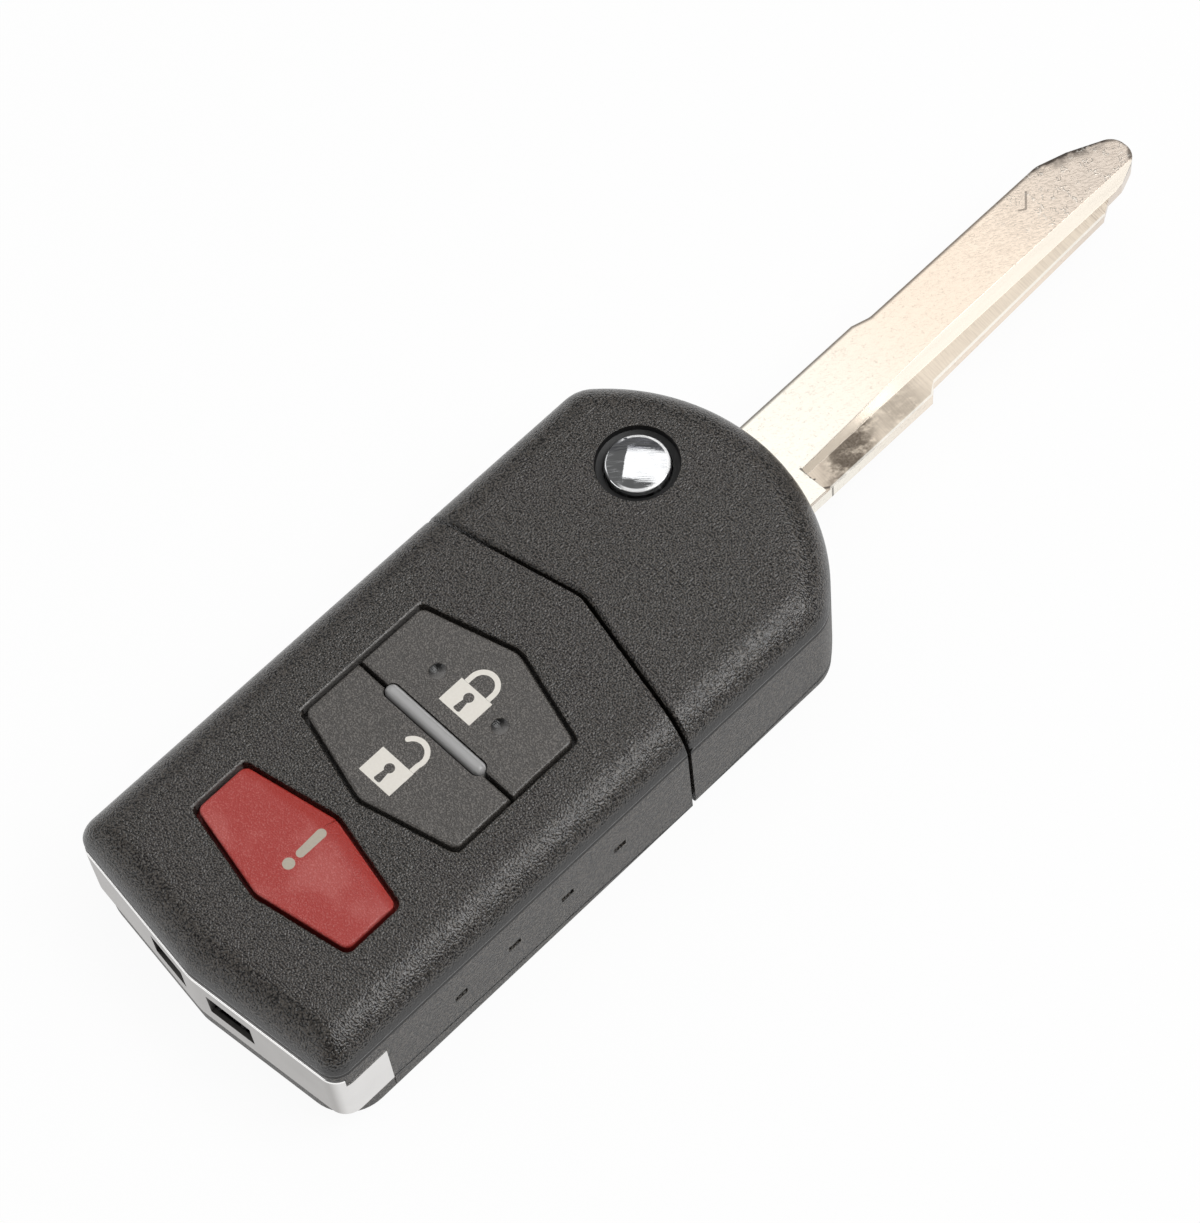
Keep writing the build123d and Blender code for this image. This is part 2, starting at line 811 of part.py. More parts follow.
# Metal end piece: front with two slots for the ring, way behind the web, side tabs
def make_end_piece():
    plan = case_plan(end_proud)
    front = prism(plan & rectangle(-2 * half, 2 * half, -2 * end_point, -end_front), end_low, end_high)
    top_edges = front.edges().group_by(Axis.Z)[-1]
    front = fillet(top_edges.filter_by(lambda e: e.center().Y < -end_front - seat_gap), end_edge_r)
    tabs = prism(plan - case_plan(slip_gap - wall, end_corner_r - wall + slip_gap), end_low, tab_high)
    tabs &= block(-2 * half, 2 * half, -2 * end_point, -tab_start, end_low, tab_high)
    back = -ring_back + ring_wall
    foot = -end_front - ring_wall
    right = ring_right_out + ring_wall
    piece = front + tabs + block(channel_x, right, foot, back, end_low, tab_high)
    inner = half - wall
    for side in ((right + inner) / 2, inner):
        piece += block(side - end_rib, side, foot, back, end_low, tab_high)

    way_front = -end_point + ring_web
    piece -= block(ring_left_out, ring_right_out, way_front, -ring_back, ring_low, ring_high)
    for x0, x1 in ((ring_left_out, ring_left_in), (ring_right_in, ring_right_out)):
        piece -= block(x0, x1, -2 * end_point, -ring_back, ring_low, ring_high)
    return piece - sweep_space


# Keys: capped block that fills its window, with a flange that stops it under the roof
def key_cap(plan, region):
    cap = prism(plan(-key_gap) & region, flange_low, case_depth - key_sunk)
    cap = fillet(cap.faces().sort_by(Axis.Z)[-1].edges(), key_edge_r)
    return cap + prism(plan(flange_reach) & region, flange_low, flange_high)


def bar_plan(grow):
    return Pos(0, -window_split) * SlotOverall(bar_length + 2 * grow, bar_width + 2 * grow)


def make_lock_button():
    cap = key_cap(window_plan, rectangle(-half, half, -window_split + key_gap / 2, 0))
    cap -= prism(bar_plan(bar_clearance), 0, case_depth + 1)
    ball = (dimple_r**2 + dimple_depth**2) / (2 * dimple_depth)
    for x in (-dimple_x, dimple_x):
        cap -= Pos(x, -dimple_y, case_depth - key_sunk - dimple_depth + ball) * Sphere(ball)
    return cap


def make_unlock_button():
    cap = key_cap(window_plan, rectangle(-half, half, -end_point, -window_split - key_gap / 2))
    return cap - prism(bar_plan(bar_clearance), 0, case_depth + 1)


# Panic key: its upper edge falls away in a broad rounded band
def make_panic_button():
    cap = prism(panic_plan(-key_gap), flange_low, case_depth - key_sunk)
    cap = fillet(cap.faces().sort_by(Axis.Z)[-1].edges(), key_edge_r)
    slope = (panic_top_corner - panic_top) / panic_half
    face_top = case_depth - key_sunk
    wide = panic_slope_width
    bend = (wide**2 + panic_slope_drop**2) / (2 * panic_slope_drop)
    low = face_top - panic_slope_drop
    half_drop = bend - sqrt(bend**2 - (wide / 2) ** 2)
    wedge = make_face(
        ThreePointArc((-wide, face_top), (-wide / 2, face_top - half_drop), (0, low))
        + Line((0, low), (1, low))
        + Line((1, low), (1, face_top + 1))
        + Line((1, face_top + 1), (-wide, face_top + 1))
        + Line((-wide, face_top + 1), (-wide, face_top))
    )
    for side in (-1, 1):
        middle = (0, -panic_top - key_gap, 0)
        plane = Plane(origin=middle, x_dir=(slope * side, 1, 0), z_dir=(side, -slope, 0))
        cap -= extrude(plane * wedge, half)
    return cap + prism(panic_plan(flange_reach), flange_low, flange_high)


def make_divider_bar():
    low = mat_high + loose_gap
    bar = prism(bar_plan(0), low, case_depth + bar_rise)
    return fillet(bar.faces().sort_by(Axis.Z)[-1].edges(), bar_round)


# Silicone mat with a sealing bead round the keys
def make_mat():
    side = window_half + mat_margin
    sheet = rectangle(-side, side, -panic_low - mat_margin_end, -window_top + mat_margin_top)
    sheet = fillet(sheet.vertices(), mat_corner_r)
    mat = prism(sheet, mat_low, mat_high)
    inner = flange_reach + bead_inset
    outer = inner + bead_width
    bead = (window_plan(outer) + panic_plan(outer)) - (window_plan(inner) + panic_plan(inner))
    return mat + prism(bead, mat_high - slip_gap, bay_top - slip_gap)


# Circuit board with cut corners and two locating holes
def make_board():
    plan = outline([
        (board_left, -board_top), (board_right - board_corner, -board_top),
        (board_right, -board_top - board_corner), (board_right, -board_end + board_corner),
        (board_right - board_corner, -board_end), (board_left, -board_end),
    ])
    for y in (-board_top - board_hole_inset, -board_end + board_hole_inset):
        plan -= Pos(board_right - board_hole_inset, y) * Circle(board_hole_r)
    return prism(plan, board_low, board_high)


def make_switch(y):
    side = switch_side / 2
    top = board_high + switch_body
    body = block(-side, side, -y - side, -y + side, board_high, top)
    body = chamfer(body.edges().filter_by(Axis.Z), switch_chamfer)
    return body + drum(0, -y, switch_stem_r, top, top + switch_stem)


def make_control_chip():
    side = control_side / 2
    x = board_right - control_inset
    top = board_high + control_height
    body = block(x - side, x + side, -control_y - side, -control_y + side, board_high, top)
    return chamfer(body.edges().group_by(Axis.Z)[-1], chip_edge)


def make_crystal():
    side = crystal_length / 2
    x = board_right - crystal_inset
    top = board_high + crystal_height
    can = block(x - side, x + side, -crystal_y - side, -crystal_y + side, board_high, top)
    return fillet(can.edges().filter_by(Axis.Z), crystal_corner_r)


# Antenna: flat loop soldered along the board's left edge
def make_antenna():
    left = board_left + antenna_inset
    right = left + antenna_span
    loop = rectangle(left, right, -antenna_end, -antenna_top)
    strip = antenna_strip
    inner = rectangle(left + strip, right - strip, -antenna_end - strip, -antenna_top - strip)
    return prism(loop - inner, board_high, board_high + antenna_height)


def make_cell():
    top = cell_low + cell_thick
    base = drum(cell_x, -cell_y, cell_r, cell_low, top)
    base = chamfer(base.edges().group_by(Axis.Z)[0], cell_chamfer)
    return base + drum(cell_x, -cell_y, cell_r - cell_step, cell_low, top + cell_step_height)


# Lower contact: cross strip in the ring below the cell
def make_lower_contact():
    low = cell_low - strip_thick - seat_gap
    plan = Rectangle(2 * (cell_r - cell_chamfer), strip_width) + Circle(0.8 * strip_width)
    return Pos(cell_x, -cell_y) * prism(plan, low, low + strip_thick)


# Upper clip: strip over the cell with legs up to the board
def make_upper_clip():
    low = cell_low + cell_thick + cell_step_height + seat_gap
    reach = cell_r - clip_inset
    side = strip_width / 2
    strip = block(-reach, reach, -side, side, low, low + strip_thick)
    for foot in (-reach, reach - strip_thick):
        strip += block(foot, foot + strip_thick, -side, side, low, board_low)
    return Pos(cell_x, -cell_y) * strip


parts = {
    "head_front": make_head_front,
    "head_back": make_head_back,
    "blade": make_blade,
    "blade_hub": make_hub,
    "release_button": make_release_button,
    "flip_spring": make_spring,
    "pivot_post": make_post,
    "head_screw": make_screw,
    "transponder_chip": make_chip,
    "front_cover": make_front_cover,
    "back_cover": make_back_cover,
    "inner_frame": make_inner_frame,
    "key_ring_end": make_end_piece,
    "lock_button": make_lock_button,
    "unlock_button": make_unlock_button,
    "panic_button": make_panic_button,
    "divider_bar": make_divider_bar,
    "keypad_gasket": make_mat,
    "circuit_board": make_board,
    "control_chip": make_control_chip,
    "crystal": make_crystal,
    "antenna_loop": make_antenna,
    "battery": make_cell,
    "battery_contact": make_lower_contact,
    "battery_clip": make_upper_clip,
}

shapes = {name: make() for name, make in parts.items()}
shapes["blade_pin"] = drum(pin_x, pin_y, pin_r - pin_play, arm_low, arm_high)
for name, y in (("lock", lock_switch_y), ("unlock", unlock_switch_y), ("panic", panic_switch_y)):
    shapes[name + "_switch"] = make_switch(y)

os.makedirs("parts", exist_ok=True)
for name, shape in shapes.items():
    export_step(Pos(0, middle_shift, 0) * shape, "parts/" + name + ".step")
    print(name, round(shape.volume, 2))
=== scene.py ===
import json
import math
import bmesh
import bpy
from mathutils import Matrix, Vector


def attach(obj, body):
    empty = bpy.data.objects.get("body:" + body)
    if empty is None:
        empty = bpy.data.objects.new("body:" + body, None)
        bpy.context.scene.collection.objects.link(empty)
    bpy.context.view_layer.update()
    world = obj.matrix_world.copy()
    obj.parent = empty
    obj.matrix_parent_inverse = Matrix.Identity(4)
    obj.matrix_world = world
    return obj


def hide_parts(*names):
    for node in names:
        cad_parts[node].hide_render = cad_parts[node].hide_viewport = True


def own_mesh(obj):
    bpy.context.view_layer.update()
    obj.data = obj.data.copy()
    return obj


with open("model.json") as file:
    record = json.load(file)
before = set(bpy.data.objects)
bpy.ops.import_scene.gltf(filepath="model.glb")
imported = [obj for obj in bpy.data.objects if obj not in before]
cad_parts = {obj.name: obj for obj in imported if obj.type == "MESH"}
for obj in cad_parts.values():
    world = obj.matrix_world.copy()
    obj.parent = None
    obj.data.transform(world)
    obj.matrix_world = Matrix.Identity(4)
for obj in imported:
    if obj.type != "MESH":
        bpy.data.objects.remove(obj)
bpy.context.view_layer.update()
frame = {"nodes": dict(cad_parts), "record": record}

# Flip remote key on a pale table. Sizes in the dictionaries are in millimetres unless noted, in the
# key's own frame (z = 0 on the back face, +Y along the opened blade). On the key y counts from the pivot.
mm = 0.001
scene = bpy.context.scene
scene.view_settings.view_transform = "Standard"
nodes = frame["nodes"]
pivot = {"x": -6.24, "y": 1.35}
faceHigh = 14.8


# Shader maths: one wrapper round a socket, with the operators that the finishes use
class Wire:
    def __init__(self, finish, socket):
        self.finish = finish
        self.socket = socket

    def calc(self, operation, *others, clamp=False):
        values = dict(enumerate((self,) + others))
        return self.finish.add("ShaderNodeMath", {"operation": operation, "use_clamp": clamp}, values)

    def __add__(self, other):
        return self.calc("ADD", other)

    __radd__ = __add__

    def __mul__(self, other):
        return self.calc("MULTIPLY", other)

    __rmul__ = __mul__

    def __sub__(self, other):
        return self.calc("SUBTRACT", other)

    def __rsub__(self, other):
        return self.finish.add("ShaderNodeMath", {"operation": "SUBTRACT"}, {0: other, 1: self})

    def __pow__(self, other):
        return self.calc("POWER", other)

    def __lt__(self, other):
        return self.calc("LESS_THAN", other)

    def __gt__(self, other):
        return self.calc("GREATER_THAN", other)

    def hold(self):
        return self.calc("ADD", 0.0, clamp=True)

    def size(self):
        return self.calc("ABSOLUTE")

    def least(self, other):
        return self.calc("MINIMUM", other)

    def most(self, other):
        return self.calc("MAXIMUM", other)

    # 0 below low, 1 above high, smooth between
    def rise(self, low, high):
        settings = {"interpolation_type": "SMOOTHSTEP"}
        values = {"Value": self, "From Min": low, "From Max": high}
        return self.finish.add("ShaderNodeMapRange", settings, values)


class Finish:
    def __init__(self, name, **constants):
        self.material = bpy.data.materials.new(name)
        self.material.use_nodes = True
        self.tree = self.material.node_tree
        self.shader = self.tree.nodes["Principled BSDF"]
        self.set(**constants)
        place = self.tree.nodes.new("ShaderNodeTexCoord")
        self.place = Wire(self, place.outputs["Object"])
        self.x, self.y, self.z = self.split(self.place)

    # Any node: type, settings first, then socket values or links, and the output wanted
    def add(self, kind, settings=None, values=None, out=0):
        node = self.tree.nodes.new(kind)
        for key, value in (settings or {}).items():
            setattr(node, key, value)
        for key, value in (values or {}).items():
            self.feed(node.inputs[key], value)
        return Wire(self, node.outputs[out])

    def feed(self, socket, value):
        if isinstance(value, Wire):
            self.tree.links.new(value.socket, socket)
        elif socket.type == "RGBA" and len(value) == 3:
            socket.default_value = (*value, 1.0)
        else:
            socket.default_value = value

    def split(self, vector):
        node = self.tree.nodes.new("ShaderNodeSeparateXYZ")
        self.tree.links.new(vector.socket, node.inputs[0])
        return [Wire(self, socket) for socket in node.outputs]

    def set(self, **values):
        for key, value in values.items():
            self.feed(self.shader.inputs[key.replace("_", " ")], value)

    def mix(self, factor, first, second):
        values = {0: factor, 6: first, 7: second}
        return self.add("ShaderNodeMix", {"data_type": "RGBA"}, values, out=2)

    # Stretched copy of the place, in units of one over a grain size in millimetres
    def stretched(self, x, y, z, turn=0.0):
        scale = (1 / (x * mm), 1 / (y * mm), 1 / (z * mm))
        turned = self.add("ShaderNodeMapping", {}, {"Vector": self.place, "Rotation": (0, 0, turn)})
        return self.add("ShaderNodeMapping", {}, {"Vector": turned, "Scale": scale})

    # Distance in millimetres in plan from a line of points
    def away(self, points):
        x = self.x * (1 / mm)
        y = self.y * (1 / mm) - pivot["y"]
        nearest = None
        for (ax, ay), (bx, by) in zip(points, points[1:]):
            dx, dy = bx - ax, by - ay
            length = dx * dx + dy * dy
            share = ((x - ax) * (dx / length) + (y - ay) * (dy / length)).hold()
            across = x - ax - share * dx
            along = y - ay - share * dy
            gap = (across * across + along * along) ** 0.5
            nearest = nearest.least(gap) if nearest else gap
        return nearest

    def noise(self, grain, detail=2.0, roughness=0.5, vector=None):
        values = {"Vector": vector or self.place, "Detail": detail, "Roughness": roughness}
        values["Scale"] = 1.0 if vector else 1 / (grain * mm)
        return self.add("ShaderNodeTexNoise", {"normalize": True}, values)

    def bump(self, height, distance, strength=1.0):
        values = {"Height": height, "Distance": distance * mm, "Strength": strength}
        return self.add("ShaderNodeBump", {}, values)


def gray(level, warm=0.0):
    return (level * (1 + warm), level, level * (1 - warm))


# Camera at the photograph's angle, turned by degrees
camera = {
    "place": (140.31, -118.98, 340.25), "turn": (27.9469, 3.7932, 45.1509),
    "lens": 117.55, "sensor": 36, "nearest": 10,
}


def makeCamera():
    data = bpy.data.cameras.new("camera")
    data.lens = camera["lens"]
    data.sensor_width = camera["sensor"]
    data.clip_start = camera["nearest"] * mm
    eye = bpy.data.objects.new("camera", data)
    eye.location = Vector(camera["place"]) * mm
    eye.rotation_euler = [math.radians(angle) for angle in camera["turn"]]
    scene.collection.objects.link(eye)
    scene.camera = eye


# Studio: pale floor, white backdrop, soft boxes. Floor and lamps in metres, glow is a lamp's radiance.
# The case values bound the hidden patch of floor, in millimetres of the key's frame.
studio = {
    "floorSize": 1.3, "floorColour": gray(0.9), "backdrop": gray(1.0), "around": gray(0.13),
    "whiteShare": 0.94, "caseSide": 16.2, "caseLow": -50.0, "caseTop": 0.0,
    "lamps": [
        {"name": "overhead", "place": (-0.146, 0.226, 0.53), "size": (0.42, 0.36), "glow": 1.15},
        {"name": "highRight", "place": (0.27, 0.175, 0.50), "size": (0.40, 0.46), "glow": 3.6},
        {"name": "farLeft", "place": (-0.50, -0.10, 0.30), "size": (0.25, 0.35), "glow": 0.9},
        {"name": "lowFront", "place": (-0.20, -0.55, 0.22), "size": (0.40, 0.25), "glow": 1.3},
        {"name": "fill", "place": (0.0, 0.0, 0.90), "size": (1.2, 1.2), "glow": 0.55, "mattOnly": True},
    ],
}


def makeStudio():
    bpy.ops.mesh.primitive_plane_add(size=studio["floorSize"])
    floor = bpy.context.object
    floor.name = "floor"
    paint = Finish("floorPaint", Roughness=0.9, Specular_IOR_Level=0.1)
    paint.set(Base_Color=studio["floorColour"])
    rays = paint.tree.nodes.new("ShaderNodeLightPath")
    kinds = ("Camera", "Glossy", "Transmission")
    seen, glossy, through = [Wire(paint, rays.outputs["Is %s Ray" % kind]) for kind in kinds]
    white = paint.add("ShaderNodeEmission", {}, {"Color": studio["backdrop"], "Strength": 1.0})

    # No glow below the case, where it would shine through the gap between head and body
    under = (paint.x.size() < studio["caseSide"] * mm) * (paint.y > studio["caseLow"] * mm)
    under = under * (paint.y < studio["caseTop"] * mm)
    shown = (seen + glossy + through).hold() * studio["whiteShare"] * (1 - under)
    plain = Wire(paint, paint.shader.outputs[0])
    both = paint.add("ShaderNodeMixShader", {}, {0: shown, 1: plain, 2: white})
    paint.tree.links.new(both.socket, paint.tree.nodes["Material Output"].inputs["Surface"])
    floor.data.materials.append(paint.material)

    world = bpy.data.worlds.new("studio")
    world.use_nodes = True
    tree = world.node_tree
    backdrop = tree.nodes["Background"]
    rays = tree.nodes.new("ShaderNodeLightPath")
    shade = tree.nodes.new("ShaderNodeMix")
    shade.data_type = "RGBA"
    shade.inputs[6].default_value = (*studio["around"], 1)
    shade.inputs[7].default_value = (*studio["backdrop"], 1)
    tree.links.new(rays.outputs["Is Camera Ray"], shade.inputs[0])
    tree.links.new(shade.outputs[2], backdrop.inputs["Color"])
    scene.world = world

    for lamp in studio["lamps"]:
        data = bpy.data.lights.new(lamp["name"], "AREA")
        data.shape = "RECTANGLE"
        data.size, data.size_y = lamp["size"]
        data.energy = lamp["glow"] * math.pi * data.size * data.size_y
        light = bpy.data.objects.new(lamp["name"], data)
        light.location = lamp["place"]
        light.visible_glossy = not lamp.get("mattOnly", False)
        light.rotation_euler = (-Vector(lamp["place"])).to_track_quat("-Z", "Y").to_euler()
        scene.collection.objects.link(light)


# Case: black plastic with a pebbled grain, smooth in the release button's recess
casePlastic = {
    "dark": gray(0.003, 0.08), "light": gray(0.066, 0.14), "spread": (0.34, 0.70),
    "wallDark": gray(0.003, 0.1), "wallLight": gray(0.10, 0.14), "wallSpread": (0.36, 0.70),
    "pebble": 0.185, "fine": 0.09, "patch": 9.0, "depth": 0.11, "sheen": 0.8,
    "roughness": 0.12, "grainDull": 0.12, "patchDull": 0.05, "wallDull": 0.25, "creaseDull": 0.5,
    "recess": 4.2, "recessFade": (0.12, 0.02), "recessLow": 12.8,
    "recessPaintedShade": gray(0.002), "recessRoughness": 0.6,
    "crownLow": 11.55, "crownHigh": 13.2, "wallFade": (0.5, 0.1), "creaseFade": (0.12, 0.35),
    "footStart": 0.1, "footEnd": 0.9, "footPaintedShade": gray(0.003, 0.05), "footShare": 0.9, "footFlat": 0.55,
    "splitAt": -17.35, "bodySeam": (0.9, 0.0516), "headSeam": (1.3, 0.0644),
    "seamFade": (0.12, 0.30), "seamShade": gray(0.002), "seamShare": 0.85,
    "rims": (((-10.5, -24.4), (-10.5, -39.7)), ((-10.5, -46.8), (-10.5, -53.2))),
    "rimDeep": 1.2, "rimFade": (0.07, 0.14), "rimLeast": 0.3, "rimPatch": 0.6, "rimPaintedHighlight": gray(0.22, 0.04),
}
grainShares = {"pebble": 0.8, "fine": 0.2}


# Pebbled relief, from 0 in the pits to 1 on the tops
def grainOf(paint, sizes):
    pebbles = paint.noise(sizes["pebble"], detail=0.0)
    fine = paint.noise(sizes["fine"], detail=0.0)
    return pebbles * grainShares["pebble"] + fine * grainShares["fine"]


def casePaint():
    sizes = casePlastic
    paint = Finish("pebbledPlastic", Specular_IOR_Level=sizes["sheen"])
    grain = grainOf(paint, sizes)
    dx = paint.x - pivot["x"] * mm
    dy = paint.y - pivot["y"] * mm
    reach = (dx * dx + dy * dy) ** 0.5
    recessIn, recessOut = sizes["recessFade"]
    recess = 1 - reach.rise((sizes["recess"] - recessIn) * mm, (sizes["recess"] - recessOut) * mm)
    rough = 1 - recess * (paint.z > sizes["recessLow"] * mm)
    patches = paint.noise(sizes["patch"], detail=2.0)
    wallLow, wallHigh = sizes["wallFade"]
    wall = 1 - paint.z.rise((sizes["crownLow"] - wallLow) * mm, (sizes["crownLow"] - wallHigh) * mm)
    shade = paint.mix(grain.rise(*sizes["spread"]), sizes["dark"], sizes["light"])
    # Painted light: the side walls get a lighter, higher-contrast copy of the grain
    paintedLitWall = paint.mix(grain.rise(*sizes["wallSpread"]), sizes["wallDark"], sizes["wallLight"])
    shade = paint.mix(wall, shade, paintedLitWall)

    # Flatter foot of the crown above its crease, darkened with painted shade
    high = paint.z * (1 / mm)
    crease = 1 - (high - sizes["crownLow"]).size().rise(*sizes["creaseFade"])
    foot = paint.z.rise((sizes["crownLow"] - sizes["footStart"]) * mm, sizes["crownLow"] * mm)
    footTop = paint.z.rise((sizes["crownHigh"] - sizes["footEnd"]) * mm, sizes["crownHigh"] * mm)
    foot = foot * (1 - footTop)
    shade = paint.mix(foot * sizes["footShare"], shade, sizes["footPaintedShade"])

    # Shadow in the crease and in the sloping seams between front and back shells
    along = paint.y * (1 / mm) - (pivot["y"] + sizes["splitAt"])
    onHead = along > 0.0
    bodySeam = sizes["bodySeam"][0] - along * sizes["bodySeam"][1]
    headSeam = sizes["headSeam"][0] + along * sizes["headSeam"][1]
    seamHigh = bodySeam + (headSeam - bodySeam) * onHead
    seam = 1 - (high - seamHigh).size().rise(*sizes["seamFade"])
    shade = paint.mix((seam + crease).hold() * sizes["seamShare"], shade, sizes["seamShade"])

    # Painted highlight along the left edges of two key windows
    face = paint.z > (faceHigh - sizes["rimDeep"]) * mm
    rim = [1 - paint.away(line).rise(*sizes["rimFade"]) for line in sizes["rims"]]
    rimHighlightShare = (rim[0] + rim[1]) * face * (sizes["rimLeast"] + patches * sizes["rimPatch"])
    shade = paint.mix(rimHighlightShare, shade, sizes["rimPaintedHighlight"])
    # Painted shade: near-black colour in the release button's recess
    paint.set(Base_Color=paint.mix(rough, sizes["recessPaintedShade"], shade))
    dull = sizes["roughness"] - sizes["recessRoughness"] + grain * sizes["grainDull"]
    dull = dull + patches * sizes["patchDull"]
    dull = dull + (wall * sizes["wallDull"]).most(crease * sizes["creaseDull"])
    paint.set(Roughness=sizes["recessRoughness"] + dull * rough)
    relief = grain * rough * (1 - crease) * (1 - foot * sizes["footFlat"]) * (1 + wall)
    paint.set(Normal=paint.bump(relief, sizes["depth"]))
    return paint.material


# Keys: the same plastic with a finer, shallower grain
keyPlastic = {
    "dark": gray(0.050, 0.09), "light": gray(0.135, 0.09), "spread": (0.42, 0.76),
    "pebble": 0.14, "fine": 0.08, "depth": 0.05, "sheen": 0.7, "roughness": 0.22, "grainDull": 0.1,
    "dimples": ((-4.14, -28.2), (4.14, -28.2)), "dimple": 0.9, "dimpleFade": 0.12,
    "dimpleSlope": (0.95, 0.3), "dimpleLit": (-0.6, 0.8),
    "dimplePaintedShade": gray(0.003), "dimplePaintedLight": gray(0.2, 0.04),
}


def keyPaint():
    sizes = keyPlastic
    paint = Finish("keyPlastic", Specular_IOR_Level=sizes["sheen"])
    grain = grainOf(paint, sizes)
    shade = paint.mix(grain.rise(*sizes["spread"]), sizes["dark"], sizes["light"])
    # Painted light and shade in the two dimples: dark on the upper left, lighter on the lower right
    for x, y in sizes["dimples"]:
        dx = paint.x * (1 / mm) - x
        dy = paint.y * (1 / mm) - (y + pivot["y"])
        reach = (dx * dx + dy * dy) ** 0.5
        inside = 1 - reach.rise(sizes["dimple"] - sizes["dimpleFade"], sizes["dimple"])
        lit = (dx * sizes["dimpleSlope"][0] - dy * sizes["dimpleSlope"][1]).rise(*sizes["dimpleLit"])
        shade = paint.mix(inside, shade, paint.mix(lit, sizes["dimplePaintedShade"], sizes["dimplePaintedLight"]))
    paint.set(Base_Color=shade, Roughness=sizes["roughness"] + grain * sizes["grainDull"])
    paint.set(Normal=paint.bump(grain, sizes["depth"]))
    return paint.material


# Alarm key: red plastic, with deeper red painted shade on its sides and in a band along its upper edge,
# where the sheen falls away
alarmPlastic = {
    "deep": (0.22, 0.014, 0.012), "band": (0.36, 0.024, 0.016), "pale": (0.385, 0.046, 0.039),
    "speck": (0.53, 0.15, 0.135), "speckSpread": (0.5, 0.75), "speckShare": 0.5,
    "pebble": 0.15, "fine": 0.08, "depth": 0.06, "sheen": 0.45, "roughness": 0.28, "grainDull": 0.1,
    "cloud": 5.0, "cloudSpread": (0.45, 0.7), "cloudShare": 0.4, "sideFade": (0.5, 0.25),
    "bandLines": ((-10.3, -46.8), (0.0, -44.7), (10.3, -46.8)),
    "bandWidth": 1.2, "bandTaper": 0.06, "bandFade": 0.9, "bandShadeShare": 0.8,
}


def alarmPaint():
    sizes = alarmPlastic
    paint = Finish("redPlastic", Specular_IOR_Level=sizes["sheen"])
    grain = grainOf(paint, sizes)
    sideLow, sideHigh = sizes["sideFade"]
    height = paint.z.rise((faceHigh - sideLow) * mm, (faceHigh - sideHigh) * mm)
    # Painted shade: a deeper red band along the upper edge
    middle = 1 - (paint.x * (1 / mm)).size() * sizes["bandTaper"]
    band = paint.away(sizes["bandLines"]) - middle * sizes["bandWidth"]
    band = 1 - band.rise(0.0, sizes["bandFade"])
    cloud = paint.noise(sizes["cloud"], detail=2.0)
    pale = grain.rise(*sizes["speckSpread"]) * sizes["speckShare"]
    pale = pale + cloud.rise(*sizes["cloudSpread"]) * sizes["cloudShare"]
    face = paint.mix(pale, sizes["pale"], sizes["speck"])
    face = paint.mix(band * sizes["bandShadeShare"], face, sizes["band"])
    # Painted shade: deeper red on the sides
    edge = (1 - height) * (1 - band)
    paint.set(Base_Color=paint.mix(edge, face, sizes["deep"]))
    paint.set(Roughness=sizes["roughness"] + grain * sizes["grainDull"])
    paint.set(Normal=paint.bump(grain, sizes["depth"]))
    return paint.material


# Divider bar: glossy mid-grey plastic, with painted shade towards its long edges, a painted highlight line
# above its middle and a painted shade line below it
barPlastic = {
    "colour": gray(0.36, 0.01), "edge": gray(0.24, 0.01), "edgeFade": (0.2, 0.75), "middle": -32.5,
    "cloud": 1.5, "coat": 0.3, "coatRoughness": 0.1, "roughness": 0.25, "cloudDull": 0.1,
    "glintAt": 0.48, "glintFade": (0.05, 0.16), "glintLeast": 0.4, "glintCloud": 0.6,
    "glintShare": 0.6, "glint": gray(0.7),
    "lineAt": -0.62, "lineFade": (0.05, 0.2), "lineShare": 0.5, "line": gray(0.08),
}


def barPaint():
    sizes = barPlastic
    paint = Finish("grayBar", Coat_Weight=sizes["coat"], Coat_Roughness=sizes["coatRoughness"])
    over = paint.y * (1 / mm) - (pivot["y"] + sizes["middle"])
    cloud = paint.noise(sizes["cloud"], detail=2.0)
    # Painted shade towards the long edges
    shade = paint.mix(over.size().rise(*sizes["edgeFade"]), sizes["colour"], sizes["edge"])
    # Painted highlight line above the middle
    glint = 1 - (over - sizes["glintAt"]).size().rise(*sizes["glintFade"])
    glint = glint * (sizes["glintLeast"] + cloud * sizes["glintCloud"])
    shade = paint.mix(glint * sizes["glintShare"], shade, sizes["glint"])
    # Painted shade line below the middle
    line = 1 - (over - sizes["lineAt"]).size().rise(*sizes["lineFade"])
    shade = paint.mix(line * sizes["lineShare"], shade, sizes["line"])
    paint.set(Base_Color=shade, Roughness=sizes["roughness"] + cloud * sizes["cloudDull"])
    return paint.material


# Release button: bright chrome with faint polishing marks, a broken white ring at its rim as a painted
# highlight, and dark bluish streaks on its upper side as a painted reflection
chromePlate = {
    "plate": (gray(0.76, -0.01), gray(0.86, -0.01)), "haze": 0.6, "hazeDeep": 0.3,
    "marks": (0.09, 1.4, 1.4), "marksTurn": 0.75, "marksSpread": (0.48, 0.66),
    "worn": 1.6, "wornSpread": (0.4, 0.65),
    "scuff": gray(0.45, -0.03), "scuffShare": 0.35, "scuffMatt": 0.3, "scuffDull": 0.12,
    "ringIn": (2.76, 2.88), "ringOut": (3.08, 3.15), "ringSide": (-2.9, -1.6), "ringLow": 14.4,
    "ringGaps": 1.1, "ringSpread": (0.36, 0.42), "ring": gray(0.95), "ringMatt": 0.85,
    "paintedDarkReflection": (0.10, 0.10, 0.16), "reflectionSlope": (0.65, 0.6), "reflectionFade": (0.7, 1.4),
    "reflectionSpread": (0.40, 0.52), "reflectionShare": 0.5,
    "roughness": 0.03, "depth": 0.012, "strength": 0.6,
}


